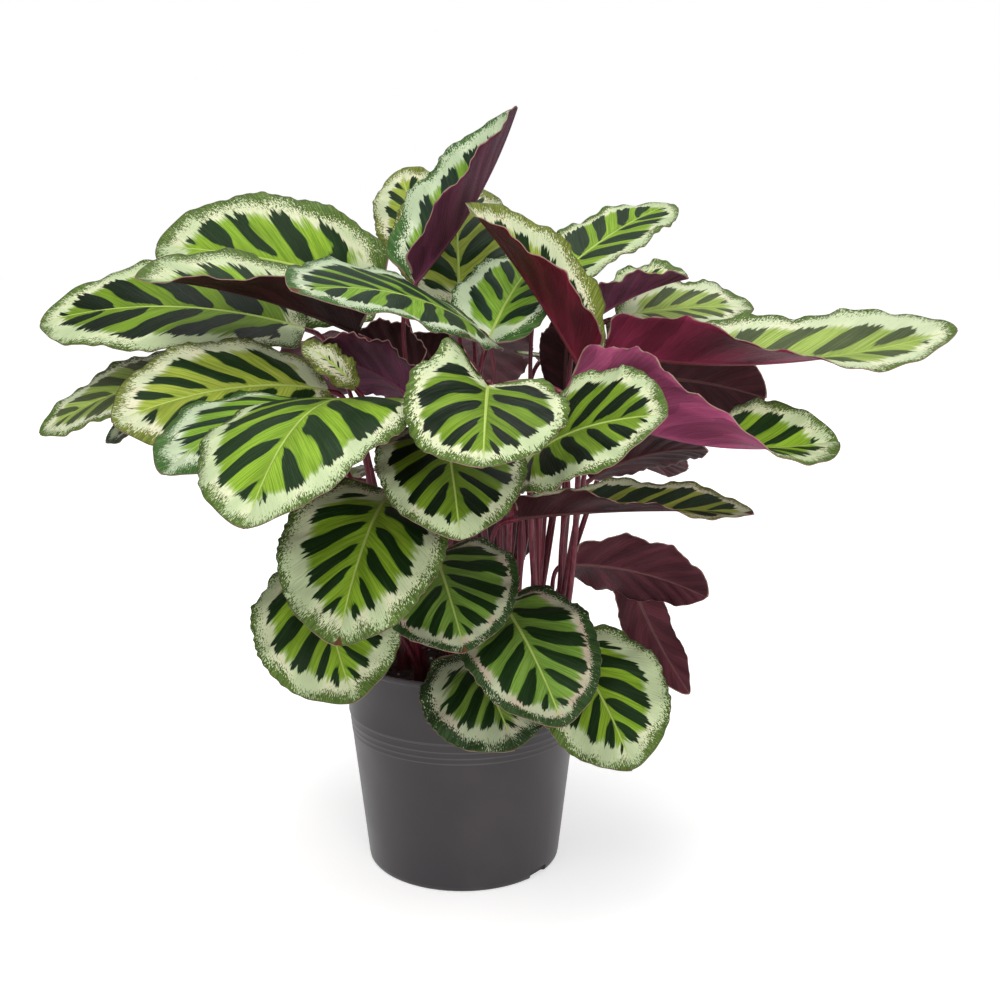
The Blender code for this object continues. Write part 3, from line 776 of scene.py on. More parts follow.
@dataclass(frozen=True)
class StalkSkin:
    """Glossy maroon skin with long streaks and dark blotches, earthy at the foot."""

    deep: Colour = (0.075, 0.007, 0.015, 1.0)
    light: Colour = (0.18, 0.022, 0.040, 1.0)
    foot: Colour = (0.045, 0.016, 0.012, 1.0)
    foot_z: Spot = (0.155, 0.205)
    streaks: Point = (520.0, 520.0, 26.0)
    blotches: float = 34.0

    def material(self) -> bpy.types.Material:
        """Build the material.

        Returns:
            The material.
        """
        material, g, shader = new_material("stalk skin", Roughness=0.3, Specular_IOR_Level=0.35)
        place = g.place()
        streak = g.noise(g.stretch(place, self.streaks), 1.0)
        skin = g.mix(g.ramp(streak, 0.35, 0.68), self.deep, self.light)
        skin = g.mix(g.ramp(g.noise(place, self.blotches), 0.45, 0.7, 0.0, 0.45), skin, self.deep)
        low = g.ramp(g.parts(place)[2], self.foot_z[1], self.foot_z[0], 0.0, 0.75)
        g.fill(shader, {"Base Color": g.mix(low, skin, self.foot), "Normal": g.bump(streak, 0.25, 0.0006)})
        return material


@dataclass(frozen=True)
class PotPlastic:
    """Matt grey-black moulded plastic with a fine grain, faint drag marks and a little dust."""

    body: Colour = (0.026, 0.022, 0.026, 1.0)
    worn: Colour = (0.038, 0.032, 0.037, 1.0)
    # painted highlight: a lighter grey along the raised lines, the collar step and the rim
    edge: Colour = (0.080, 0.070, 0.076, 1.0)
    dust: Colour = (0.20, 0.17, 0.14, 1.0)
    dust_z: float = 0.014
    highlight_z: tuple[float, ...] = (*POT_LINES_Z, 0.1287, 0.1775)
    grains: float = 900.0
    clouds: float = 14.0
    drags: Point = (60.0, 60.0, 900.0)

    def material(self) -> bpy.types.Material:
        """Build the material.

        Returns:
            The material.
        """
        material, g, shader = new_material("pot plastic", Specular_IOR_Level=0.5, Sheen_Weight=0.22,
                                           Sheen_Roughness=0.4)
        place = g.place()
        grain = g.noise(place, self.grains)
        cloud = g.noise(place, self.clouds, 3.0)
        drag = g.noise(g.stretch(place, self.drags), 1.0)
        skin = g.mix(g.ramp(cloud, 0.4, 0.7), self.body, self.worn)
        skin = g.mix(g.ramp(drag, 0.62, 0.8, 0.0, 0.35), skin, self.worn)
        height = g.parts(place)[2]
        # painted highlight along the raised lines, the collar step and the rim, broken into patches by the
        # cloud noise
        highlight_patches = g.ramp(cloud, 0.3, 0.6, 0.35, 0.9)
        for line in self.highlight_z:
            away = g.maths("ABSOLUTE", g.maths("SUBTRACT", height, line))
            skin = g.mix(g.maths("MULTIPLY", g.ramp(away, 0.0008, 0.0002), highlight_patches), skin, self.edge)
        dusty = g.maths("MULTIPLY", g.ramp(height, self.dust_z, 0.0), g.ramp(cloud, 0.5, 0.7, 0.0, 0.25))
        g.fill(shader, {
            "Base Color": g.mix(dusty, skin, self.dust),
            "Roughness": g.ramp(cloud, 0.3, 0.7, 0.42, 0.56),
            "Normal": g.bump(g.maths("ADD", grain, g.maths("MULTIPLY", drag, 0.5)), 0.12, 0.0004),
        })
        return material


@dataclass(frozen=True)
class Crumb:
    """A matt, speckled, crumbly stuff: peat, bark or perlite."""

    name: str
    dark: Colour
    light: Colour
    scale: float = 260.0

    def material(self) -> bpy.types.Material:
        """Build the material.

        Returns:
            The material.
        """
        material, g, shader = new_material(self.name, Roughness=0.92)
        grain = g.noise(g.place(), self.scale, 4.0, 0.65)
        colour = g.mix(g.ramp(grain, 0.35, 0.7), self.dark, self.light)
        g.fill(shader, {"Base Color": colour, "Normal": g.bump(grain, 0.8, 0.0015)})
        return material


class Finishes:
    """All finishes of the plant, built once."""

    TOPS = {
        Tint.FRESH: UpperFace("fresh green"),
        Tint.OLIVE: UpperFace(
            "olive green", lime=(0.19, 0.27, 0.022, 1.0), lime_light=(0.36, 0.42, 0.065, 1.0),
            ring=(0.60, 0.66, 0.42, 1.0), blush=(0.64, 0.62, 0.44, 1.0),
            rim=(0.10, 0.13, 0.020, 1.0), rim_light=(0.22, 0.25, 0.045, 1.0)),
        Tint.BLUISH: UpperFace(
            "bluish green", lime=(0.115, 0.235, 0.014, 1.0), lime_light=(0.22, 0.385, 0.040, 1.0),
            dark=(0.006, 0.021, 0.009, 1.0), ring=(0.50, 0.61, 0.40, 1.0), blush=(0.57, 0.63, 0.46, 1.0),
            rim=(0.026, 0.080, 0.014, 1.0), rim_light=(0.09, 0.18, 0.045, 1.0), solid_mm=1.8, fleck_mm=9.0),
        Tint.ROSY: UpperFace(
            "rosy green", lime=(0.10, 0.215, 0.022, 1.0), lime_light=(0.20, 0.33, 0.060, 1.0),
            ring=(0.46, 0.50, 0.33, 1.0), blush=(0.45, 0.36, 0.28, 1.0),
            rim=(0.017, 0.042, 0.011, 1.0), rim_light=(0.048, 0.090, 0.027, 1.0), solid_mm=4.2),
        # painted shade: the fresh palette darkened for blades low down and inside the crown
        Tint.DEEP: UpperFace(
            "deep green", lime=(0.085, 0.17, 0.018, 1.0), lime_light=(0.17, 0.27, 0.045, 1.0),
            ring=(0.40, 0.46, 0.29, 1.0), blush=(0.42, 0.40, 0.29, 1.0),
            rim=(0.014, 0.034, 0.010, 1.0), rim_light=(0.042, 0.075, 0.024, 1.0), solid_mm=3.2),
        # partly painted shade: the fresh palette darkened for blades under others, and partly their own
        # darker lime
        Tint.SHADED: UpperFace(
            "shaded green", lime=(0.100, 0.185, 0.009, 1.0), lime_light=(0.175, 0.28, 0.022, 1.0),
            dark=(0.004, 0.010, 0.003, 1.0), dark_soft=(0.010, 0.024, 0.007, 1.0)),
        Tint.PALE: UpperFace(
            "pale green", lime=(0.20, 0.30, 0.045, 1.0), lime_light=(0.36, 0.46, 0.12, 1.0),
            fringe=(0.12, 0.17, 0.05, 1.0), dark=(0.055, 0.075, 0.028, 1.0),
            dark_soft=(0.11, 0.14, 0.055, 1.0), ring=(0.62, 0.70, 0.45, 1.0), blush=(0.64, 0.64, 0.46, 1.0)),
    }
    BACKS = {
        Back.PLUM: UnderFace("plum back", (0.062, 0.014, 0.020, 1.0), (0.095, 0.026, 0.036, 1.0),
                             (0.14, 0.060, 0.060, 1.0)),
        Back.VIOLET: UnderFace("violet back", (0.092, 0.018, 0.046, 1.0), (0.128, 0.031, 0.066, 1.0),
                               (0.17, 0.055, 0.085, 1.0)),
        Back.CRIMSON: UnderFace("crimson back", (0.105, 0.007, 0.018, 1.0), (0.15, 0.013, 0.030, 1.0),
                                (0.20, 0.03, 0.045, 1.0)),
        Back.ROSE: UnderFace("rose back", (0.160, 0.016, 0.045, 1.0), (0.210, 0.028, 0.066, 1.0),
                             (0.24, 0.05, 0.075, 1.0)),
        # partly its own colour, and partly painted light: brightened for light shining through the blade
        Back.MAGENTA: UnderFace("magenta back", (0.245, 0.042, 0.104, 1.0), (0.330, 0.082, 0.160, 1.0),
                                (0.27, 0.07, 0.13, 1.0)),
        # painted shade: the plum back darkened for under faces inside and below the crown
        Back.DUSK: UnderFace("dusk back", (0.030, 0.007, 0.009, 1.0), (0.050, 0.013, 0.017, 1.0),
                             (0.09, 0.035, 0.035, 1.0)),
    }
    PEAT = Crumb("damp peat", (0.012, 0.007, 0.005, 1.0), (0.06, 0.035, 0.022, 1.0))
    BARK = Crumb("bark", (0.05, 0.025, 0.014, 1.0), (0.16, 0.085, 0.045, 1.0))
    PERLITE = Crumb("perlite", (0.45, 0.43, 0.38, 1.0), (0.75, 0.73, 0.68, 1.0))

    def __init__(self) -> None:
        """Build every material and the groups that they share."""
        grain = VeinGrain().tree
        bands = Bands(grain).tree
        self.tops = {tint: finish.material(grain, bands) for tint, finish in self.TOPS.items()}
        self.backs = {back: finish.material(grain, bands) for back, finish in self.BACKS.items()}
        self.stalk = StalkSkin().material()
        self.pot = PotPlastic().material()
        self.peat = self.PEAT.material()
        self.bark = self.BARK.material()
        self.perlite = self.PERLITE.material()


# ---------------------------------------------------------------- the form of a leaf
Places = np.ndarray          # one number, or one vector, for each place on a blade


def unit(vector: np.ndarray) -> np.ndarray:
    """Return the vector, or each of several, scaled to length one."""
    return vector / np.linalg.norm(vector, axis=-1, keepdims=True)


class LeafForm:
    """The surface and the stalk of one leaf, worked out from its row of the leaf table.

    A place on the blade is given by phi, an angle that runs along the margin from 0 at the heart to
    pi at the tip, and t, the share of the half width from the midrib, below 0 on the left half.
    """

    RIB_DEPTH = 0.0024           # the midrib stands out this far under the blade
    SEAT = 0.0004                # where the stalk ends short of the blade in the frame
    NECK = 0.006                 # straight end of the stalk, in line with the midrib
    PLUG = 0.003                 # how far the stalk runs into the blade
    NEAR = 0.02                  # a station near the heart, which gives the midrib's direction
    LEAVE = (0.42, 0.25)         # how far a stalk keeps the way it starts in, and how that leans out
    ARRIVE = (0.22, 0.034)       # how far before its end it takes the midrib's way: share and limit
    BOW_END = 0.6                # how much of its bow is left there
    DRIP = (0.03, 0.22)          # length and breadth of the pointed tip
    LOBE = (0.55, 0.2)           # where the heart's lobes stand out, and their breadth
    ROOT_LEAD = 0.25             # how far the veins' roots lie behind their ends
    FAN = 1.25                   # how the veins curve from root to end
    FULLNESS = (0.86, 0.05)      # how round the outline is, and how much fuller near the heart
    WAVES = 3.0                  # broad waves along each margin
    LAG = 2.1                    # how far the right margin's waves are behind the left's
    SCALLOP = (1.7, 0.011)       # the edge's scallops: how many to a ripple, and their depth
    PLEAT = (6.5, 0.5)           # pleats between the veins: how many, and their height in millimetres
    LEAN = (0.5, 1.3)            # how the veins lean toward the tip
    RIM_FROM = 0.16              # the angle at which the margin starts, past the stalk
    RIM_SPOTS = 160

    def __init__(self, leaf: Leaf, number: int) -> None:
        """Work out the leaf's own directions.

        Args:
            leaf: The leaf's row of the table.
            number: The leaf's number, which seeds what varies from leaf to leaf.
        """
        self.leaf = leaf
        self.half_width = leaf.width * MM / 2.0
        self.heart = np.array(leaf.heart) * MM
        self.chord = np.array(leaf.tip) * MM - self.heart
        self.length = float(np.linalg.norm(self.chord))
        self.along = unit(self.chord)
        faces = np.array(leaf.faces)
        self.upper = unit(faces - faces.dot(self.along) * self.along)
        self.across = np.cross(self.along, self.upper)
        draw = random.Random(number * 7 + 3)
        self.seed = draw.random()
        self.ripples = draw.uniform(8.0, 11.0)
        self.ripple_turn = draw.uniform(0.0, 6.28)
        self.ripple_rise = draw.uniform(0.55, 1.25) * MM

    def outline(self, phi: Places, t: Places) -> tuple[Places, Places, Places]:
        """Return where the vein at the angle phi starts and ends, on the side of t.

        Args:
            phi: The angle of each place.
            t: Its share of the half width.
        Returns:
            The station of the vein's root on the midrib, the station of its end on the margin, and
            the share of the half width there.
        """
        depth = np.where(t < 0, self.leaf.lobe[0], self.leaf.lobe[1])
        turn = (1.0 - np.cos(phi)) / 2.0
        drip = self.DRIP[0] * np.exp(-((math.pi - phi) / self.DRIP[1]) ** 2)
        lobe = depth * np.exp(-((phi - self.LOBE[0]) / self.LOBE[1]) ** 2)
        root = turn - self.ROOT_LEAD * np.sin(phi) ** 2 + drip
        half = np.sin(phi) ** self.FULLNESS[0] * (1.0 + self.FULLNESS[1] * np.cos(phi))
        return root, turn + drip - lobe, half

    def station(self, phi: Places, t: Places) -> tuple[Places, Places]:
        """Return each place's station, 0 at the heart and 1 at the tip, and its reach in metres."""
        root, margin, half = self.outline(phi, t)
        return root + (margin - root) * np.abs(t) ** self.FAN, half * self.half_width * np.abs(t)

    def midrib(self, u: Places) -> tuple[Places, Places, Places]:
        """Return points of the midrib, with the blade's directions there.

        Args:
            u: The points' stations.
        Returns:
            The points, their sideways vectors and their upward vectors.
        """
        u = np.asarray(u, dtype=float)[..., None]
        rise = self.leaf.arch * MM
        point = self.heart + self.chord * u + self.upper * rise * 4.0 * u * (1.0 - u)
        up = unit(self.upper - self.along * 4.0 * rise * (1.0 - 2.0 * u) / self.length)
        angle = np.radians(self.leaf.twist) * np.clip(u, 0.0, 1.2) ** 1.5
        side = self.across * np.cos(angle) + up * np.sin(angle)
        return point, side, up * np.cos(angle) - self.across * np.sin(angle)

    def section(self, mix: Places, t: Places, reach: Places) -> tuple[Places, Places]:
        """Return how far out and up a half section goes, with its fold and its curl.

        Args:
            mix: How far along the blade each place is, from 0 to 1.
            t: Its share of the half width.
            reach: Its way from the midrib over the blade.
        Returns:
            How far out and how far up it is.
        """
        left, right, near = self.leaf.left, self.leaf.right, t < 0
        fold = np.where(near, left[0] + (left[1] - left[0]) * mix, right[0] + (right[1] - right[0]) * mix)
        fold = np.radians(fold)
        bend = np.radians(np.where(near, left[2], right[2]))
        bend = np.where(np.abs(bend) < 1e-4, 1e-4, bend)
        turn = fold + bend * reach / self.half_width
        out = (np.sin(turn) - np.sin(fold)) * self.half_width / bend
        return out, (np.cos(fold) - np.cos(turn)) * self.half_width / bend

    def surface(self, phi: Places, t: Places) -> Places:
        """Return the upper surface, with its waves, ripples, pleats and scalloped edge.

        Args:
            phi: The angle of each place.
            t: Its share of the half width.
        Returns:
            The point of each place.
        """
        station, reach = self.station(phi, t)
        mix = np.clip(station, 0.0, 1.0)
        away, whole = np.abs(t), 2.0 * math.pi
        count = self.SCALLOP[0] * self.ripples
        scallop = np.sin(whole * count * mix + 2.0 * self.ripple_turn + np.sign(t))
        out, lift = self.section(mix, t, reach * (1.0 + self.SCALLOP[1] * away ** 4 * scallop))
        swell = np.sin(phi) ** 0.5
        start = np.where(t < 0, 0.0, self.LAG)
        wave = self.leaf.wave * MM * away ** 3 * swell
        lift = lift + wave * np.sin(whole * self.WAVES * mix + start)
        ripple = self.ripple_rise * away ** 5 * swell
        lift = lift + ripple * np.sin(whole * self.ripples * mix + start + self.ripple_turn)
        pleat = self.PLEAT[1] * MM * np.sin(math.pi * away) * swell
        lift = lift + pleat * np.sin(whole * self.PLEAT[0] * self.vein(phi, t) + start)
        point, side, up = self.midrib(station)
        return point + side * (out * np.sign(t))[..., None] + up * lift[..., None]

    def vein(self, phi: Places, t: Places) -> Places:
        """Return the station where the vein through a place leaves the midrib.

        Args:
            phi: The angle of each place.
            t: Its share of the half width.
        Returns:
            The vein's station.
        """
        station, reach = self.station(phi, t)
        away = reach / self.length
        return (station - self.LEAN[0] * away) / (1.0 + self.LEAN[1] * away)

    def rim(self) -> np.ndarray:
        """Return spots along both margins of the blade laid flat, in millimetres.

        Returns:
            The spots.
        """
        phi = np.linspace(self.RIM_FROM, math.pi, self.RIM_SPOTS)
        sides = []
        for side in (-1.0, 1.0):
            station, reach = self.station(phi, np.full_like(phi, side))
            sides.append(np.stack([side * reach, station * self.length], axis=-1) / MM)
        return np.concatenate(sides)

    def growth(self, phi: Places, t: Places) -> Places:
        """Return, in millimetres, each place's vein station, reach from the midrib, and edge distance.

        Args:
            phi: The angle of each place.
            t: Its share of the half width.
        Returns:
            The three measures as a vector.
        """
        station, reach = self.station(phi, t)
        flat = np.stack([reach * np.sign(t), station * self.length], axis=-1) / MM
        edge = np.min([np.linalg.norm(flat - spot, axis=-1) for spot in self.rim()], axis=0)
        return np.stack([self.vein(phi, t) * self.length / MM, reach / MM, edge], axis=-1)

    def leafmark(self, phi: Places, t: Places) -> Places:
        """Return each place's vein station from 0 to 1, its side, and the leaf's seed."""
        side = np.where(t < 0, -1.0, 1.0)
        return np.stack([self.vein(phi, t), side, np.full_like(side, self.seed)], axis=-1)

    def stalk(self, foot: np.ndarray, steps: int) -> np.ndarray:
        """Return the points of the leaf's stalk.

        Args:
            foot: Where it leaves its sheath.
            steps: How many points its curved run has.
        Returns:
            The points, foot first.
        """
        base, _, up = self.midrib(np.array([0.0]))
        arrive = unit(self.midrib(np.array([self.NEAR]))[0][0] - base[0])
        seat = base[0] - arrive * self.SEAT - up[0] * self.RIB_DEPTH * 0.5
        end = seat - arrive * self.NECK
        run = np.linalg.norm(end - foot)
        lean = unit(np.array([end[0] - foot[0], end[1] - foot[1], 0.0001]))
        bow = np.array(self.leaf.bow) * MM
        leave = np.array([0.0, 0.0, 1.0]) + self.LEAVE[1] * lean
        first = foot + leave * self.LEAVE[0] * run + bow
        second = end - arrive * min(self.ARRIVE[0] * run, self.ARRIVE[1]) + bow * self.BOW_END
        s = np.linspace(0.0, 1.0, steps)[:, None]
        path = (1 - s) ** 3 * foot + 3 * (1 - s) ** 2 * s * first
        path = path + 3 * (1 - s) * s ** 2 * second + s ** 3 * end
        return np.vstack([path, seat, seat + arrive * self.PLUG])


# ---------------------------------------------------------------- sub-assemblies
@dataclass
class Blade:
    """One waved blade, patterned above and plum below."""

    name: str
    form: LeafForm
    look: Look
    rows: int = 92
    columns: int = 28
    ends: Spot = (0.05, 0.012)   # the angles left free at the heart and at the tip
    crowd: float = 0.35          # how much closer the columns stand near the midrib
    thickness: float = 0.0006
    rib_mm: float = 1.5
    rib_fade: float = 0.8
    usual_ring: float = 13.0

    def lattice(self) -> tuple[Places, Places]:
        """Return the angles and the shares across, closer together near the midrib.

        Returns:
            The angle and the share of each place.
        """
        phi = np.linspace(self.ends[0], math.pi - self.ends[1], self.rows + 1)
        share = np.linspace(-1.0, 1.0, self.columns + 1)
        t = share * (self.crowd + (1.0 - self.crowd) * np.abs(share))
        return np.meshgrid(phi, t, indexing="ij")

    def grid(self) -> tuple[bpy.types.Object, np.ndarray, np.ndarray]:
        """Add the grid that the blade is shaped from.

        Returns:
            The grid, and the row and the column of each of its vertices.
        """
        bpy.ops.object.select_all(action="DESELECT")
        bpy.ops.mesh.primitive_grid_add(x_subdivisions=self.columns, y_subdivisions=self.rows, size=2.0)
        obj = made(f"{self.name}_leaf")
        flat = np.empty(len(obj.data.vertices) * 3)
        obj.data.vertices.foreach_get("co", flat)
        share = (flat.reshape(-1, 3) + 1.0) / 2.0
        column, row = share[:, 0] * self.columns, share[:, 1] * self.rows
        return obj, np.rint(row).astype(int), np.rint(column).astype(int)

    def build(self, finishes: Finishes) -> bpy.types.Object:
        """Shape the blade from a grid and dress it.

        Args:
            finishes: The plant's finishes.
        Returns:
            The blade.
        """
        obj, row, column = self.grid()
        phi, t = self.lattice()
        obj.data.vertices.foreach_set("co", self.form.surface(phi, t)[row, column].ravel())
        growth = self.form.growth(phi, t)[row, column]
        self.raise_rib(obj, growth)
        growth[:, 2] *= self.usual_ring / self.look.ring
        self.mark(obj, "growth", growth)
        self.mark(obj, "leafmark", self.form.leafmark(phi, t)[row, column])
        obj.data.materials.append(finishes.tops[self.look.tint])
        obj.data.materials.append(finishes.backs[self.look.back])
        apply(obj, "SOLIDIFY", thickness=LeafForm.RIB_DEPTH, offset=-1.0, vertex_group="rib",
              thickness_vertex_group=self.thickness / LeafForm.RIB_DEPTH, use_even_offset=False,
              material_offset=1, material_offset_rim=1)
        smooth(obj)
        dress(obj, "blade", [self.name])
        return obj

    def mark(self, obj: bpy.types.Object, name: str, values: np.ndarray) -> None:
        """Store a vector for each vertex under a name."""
        layer = obj.data.attributes.new(name, "FLOAT_VECTOR", "POINT")
        layer.data.foreach_set("vector", values.astype(np.float32).ravel())

    def raise_rib(self, obj: bpy.types.Object, growth: np.ndarray) -> None:
        """Weight the vertices near the midrib, which thickens toward the heart.

        Args:
            obj: The blade.
            growth: The vein station, reach and edge distance of each vertex, in millimetres.
        """
        group = obj.vertex_groups.new(name="rib")
        fade = 1.0 - self.rib_fade * np.clip(growth[:, 0] * MM / self.form.length, 0.0, 1.0)
        weight = np.exp(-(growth[:, 1] / self.rib_mm) ** 2) * fade
        for index, share in enumerate(weight):
            group.add([index], float(share), "REPLACE")


@dataclass
class Shoot:
    """One shoot: leaf stalks and rolled young leaves that rise from a sheathed foot in the soil."""

    number: int
    forms: list[LeafForm]
    foot: Spot
    spears: tuple[Point, ...] = ()
    soil_z: float = SOIL_Z
    start: float = 0.004         # the stalks start this far above the soil, inside the sheath
    spread: float = 0.0022       # and this far from its middle, but for the first
    spread_turn: float = 2.4
    foot_r: float = 0.0030
    top_r: float = 0.0018
    taper: float = 1.6           # how soon a stalk is down to its top radius
    joint: Point = (0.00045, 0.9, 0.05)  # the swollen joint: how much thicker, where, and how long
    tip_share: float = 0.55      # how slim a stalk's end is inside the blade
    # How far along a rolled young leaf each radius is.
    spear_radii: tuple[Spot, ...] = (
        (0.0, 0.0026), (0.62, 0.0021), (0.72, 0.0028), (0.82, 0.0036), (0.93, 0.0022), (1.0, 0.0003))
    spear_bow: float = 0.25
    steps: int = 26
    sheath_r: float = 0.0066
    sheath_top_r: float = 0.0042
    sheath_height: float = 0.036
    sheath_depth: float = 0.012

    def base(self, place: int = 0) -> np.ndarray:
        """Return where a stalk starts.

        Args:
            place: Its place in the sheath, 0 for the middle.
        Returns:
            The point.
        """
        spread, turn = (self.spread if place else 0.0), place * self.spread_turn
        middle = np.array([self.foot[0] * MM, self.foot[1] * MM, self.soil_z + self.start])
        return middle + np.array([spread * math.cos(turn), spread * math.sin(turn), 0.0])

    def radius(self, share: float) -> float:
        """Return the stalk's radius along its run, with a swollen joint below the blade.

        Args:
            share: How far along the stalk, from 0 to 1.
        Returns:
            The radius.
        """
        more, middle, length = self.joint
        body = self.foot_r + (self.top_r - self.foot_r) * min(1.0, share * self.taper)
        return body + more * math.exp(-((share - middle) / length) ** 2)

    def stalk(self, form: LeafForm, place: int) -> bpy.types.Object:
        """Sweep one stalk.

        Args:
            form: The leaf whose stalk it is.
            place: Its place in the sheath.
        Returns:
            The stalk's mesh object.
        """
        points = form.stalk(self.base(place), self.steps)
        radii = [self.radius(index / (len(points) - 1)) for index in range(len(points))]
        radii[-1] = self.top_r * self.tip_share
        return self.sweep(points, radii)

    def spear(self, tip: Point) -> bpy.types.Object:
        """Sweep a young leaf that is still rolled: a slender stalk that swells and ends in a point.

        Args:
            tip: The rolled leaf's tip, in millimetres.
        Returns:
            The young leaf's mesh object.
        """
        foot = self.base()
        run = np.array(tip) * MM - foot
        share = np.linspace(0.0, 1.0, self.steps)[:, None]
        points = foot + run * share
        points[:, :2] += run[:2] * self.spear_bow * np.sin(share * math.pi)
        return self.sweep(points, np.interp(share[:, 0], *zip(*self.spear_radii)))

    def sweep(self, points: np.ndarray, radii: Sequence[float]) -> bpy.types.Object:
        """Sweep a round skin along a path as a bevelled curve, and make it a mesh.

        Args:
            points: The path's points, in metres.
            radii: The radius at each point.
        Returns:
            The swept mesh object.
        """
        bpy.ops.object.select_all(action="DESELECT")
        bpy.ops.curve.primitive_nurbs_path_add()
        curve = made("stalk").data
        curve.splines.clear()
        spline = curve.splines.new("POLY")
        spline.points.add(len(points) - 1)
        for knot, point, radius in zip(spline.points, points, radii):
            knot.co = (*point, 1.0)
            knot.radius = radius
        curve.dimensions = "3D"
        curve.bevel_depth = 1.0
        curve.bevel_resolution = 4
        curve.use_fill_caps = True
        bpy.ops.object.convert(target="MESH")
        bpy.ops.object.mode_set(mode="EDIT")
        bpy.ops.mesh.select_all(action="SELECT")
        bpy.ops.mesh.remove_doubles(threshold=0.00001)
        bpy.ops.mesh.normals_make_consistent(inside=False)
        bpy.ops.object.mode_set(mode="OBJECT")
        obj = bpy.context.active_object
        settle(obj)
        return obj

    def sheath(self) -> bpy.types.Object:
        """Shape the clasping foot from a disc: a swollen base that narrows upward.

        Returns:
            The sheath.
        """
        x, y, low = self.foot[0] * MM, self.foot[1] * MM, self.soil_z - self.sheath_depth
        obj = disc("sheath", self.sheath_r * 0.9, 24, (x, y, low))
        profile = [(self.sheath_r * 0.9, 0.0), (self.sheath_r, 0.010), (self.sheath_r * 0.96, 0.018),
                   (self.sheath_r * 0.82, 0.028), (self.sheath_top_r, self.sheath_height),
                   (self.sheath_top_r * 0.8, self.sheath_height + 0.006)]
        raise_wall(profile, (x, y), low)
        settle(obj)
        return obj

    def build(self, finishes: Finishes) -> bpy.types.Object:
        """Build the stalks and the sheath as one piece and dress it.

        Args:
            finishes: The plant's finishes.
        Returns:
            The shoot.
        """
        parts = [self.sheath()]
        parts += [self.stalk(form, place) for place, form in enumerate(self.forms)]
        parts += [self.spear(tip) for tip in self.spears]
        obj = join(parts, f"shoot_{self.number:02d}_stalks")
        smooth(obj, 60.0)
        dress(obj, "stalk", [f"shoot_{self.number:02d}"], finishes.stalk)
        return obj


@dataclass
class NurseryPot:
    """The tapered pot: a turned wall with a collar, thin raised lines, a rolled rim and foot notches."""

    rim_r: float = 0.095
    height: float = 0.178
    collar_r: float = 0.0930
    collar_z: float = 0.129
    base_r: float = 0.0788
    base_z: float = 0.005
    foot_r: float = 0.0760
    wall: float = 0.0018
    floor: float = 0.0024
    lip: float = 0.0012
    lip_z: float = 0.1735
    step: float = 0.0005
    line_z: tuple[float, ...] = POT_LINES_Z
    line_rise: float = 0.00030
    line_half: float = 0.0010
    segments: int = 144
    notch: Point = (0.010, 0.020, 0.009)
    notch_turn: float = math.radians(-39.0)
    notch_count: int = 2
    notch_round: float = 0.0018

    def outer(self, z: float) -> float:
        """Return the outside radius at a height.

        Args:
            z: The height.
        Returns:
            The radius.
        """
        heights = (0.0, self.base_z, self.collar_z - 0.001, self.collar_z, self.height)
        radii = (self.foot_r, self.base_r, self.collar_r - self.step, self.collar_r, self.rim_r)
        return float(np.interp(z, heights, radii))

    def raised_line(self, z: float) -> list[Spot]:
        """Return the rings of one thin raised line.

        Args:
            z: The line's height.
        Returns:
            The radius and the height of each ring.
        """
        low, high = z - self.line_half, z + self.line_half
        crest = self.outer(z) + self.line_rise
        return [(self.outer(low), low), (crest - self.line_rise * 0.2, z - 0.0003),
                (crest, z + 0.0002), (self.outer(high), high)]

    def profile(self) -> list[Spot]:
        """Return the rings of the pot from its foot, over the rim and down to its floor.

        Returns:
            The radius and the height of each ring.
        """
        rings = [(self.foot_r, 0.0), (self.base_r - 0.0016, 0.0006), (self.base_r - 0.0006, 0.0018)]
        rings += [(self.outer(self.base_z), self.base_z)]
        for z in self.line_z:
            rings += self.raised_line(z)
        step = self.collar_z - 0.0012
        rings += [(self.outer(step - 0.0006), step - 0.0006), (self.collar_r + 0.0001, step)]
        rings += [(self.collar_r + 0.0003, self.collar_z - 0.0003), (self.collar_r, self.collar_z + 0.0008)]
        rings += [(self.outer(z), z) for z in (0.150, self.lip_z)]
        top = self.rim_r + self.lip
        rings += [(top - 0.0004, self.lip_z + 0.0007), (top, self.lip_z + 0.0015)]
        rings += [(top, self.height - 0.0010), (top - 0.0004, self.height - 0.0003)]
        rings += [(self.rim_r + 0.0004, self.height)]
        rings += [(self.rim_r - 0.0008, self.height), (self.rim_r - self.wall, self.height - 0.0005)]
        rings += [(self.collar_r - self.wall, self.collar_z), (self.base_r - self.wall, self.base_z + 0.001)]
        return rings + [(self.foot_r - self.wall, self.floor)]

    def cut_notches(self, obj: bpy.types.Object) -> None:
        """Cut the drainage notches at the foot with rounded blocks.

        Args:
            obj: The pot.
        """
        for index in range(self.notch_count):
            angle = self.notch_turn + index * 2.0 * math.pi / self.notch_count
            spot = (self.base_r * math.cos(angle), self.base_r * math.sin(angle), 0.002)
            bpy.ops.object.select_all(action="DESELECT")
            bpy.ops.mesh.primitive_cube_add(size=1.0, location=spot, rotation=(0.0, 0.0, angle))
            block = made("notch block")
            block.scale = self.notch
            settle(block)
            apply(block, "BEVEL", width=self.notch_round, segments=3)
            apply(obj, "BOOLEAN", operation="DIFFERENCE", solver="EXACT", object=block)
            bpy.data.objects.remove(block)

    def build(self, finishes: Finishes) -> bpy.types.Object:
        """Turn the pot, cut it and dress it.

        Args:
            finishes: The plant's finishes.
        Returns:
            The pot.
        """
        obj = disc("nursery_pot", self.foot_r, self.segments)
        raise_wall(self.profile(), (0.0, 0.0), 0.0)
        self.cut_notches(obj)
        smooth(obj, 35.0)
        dress(obj, "pot_plastic", ["pot"], finishes.pot)
        return obj


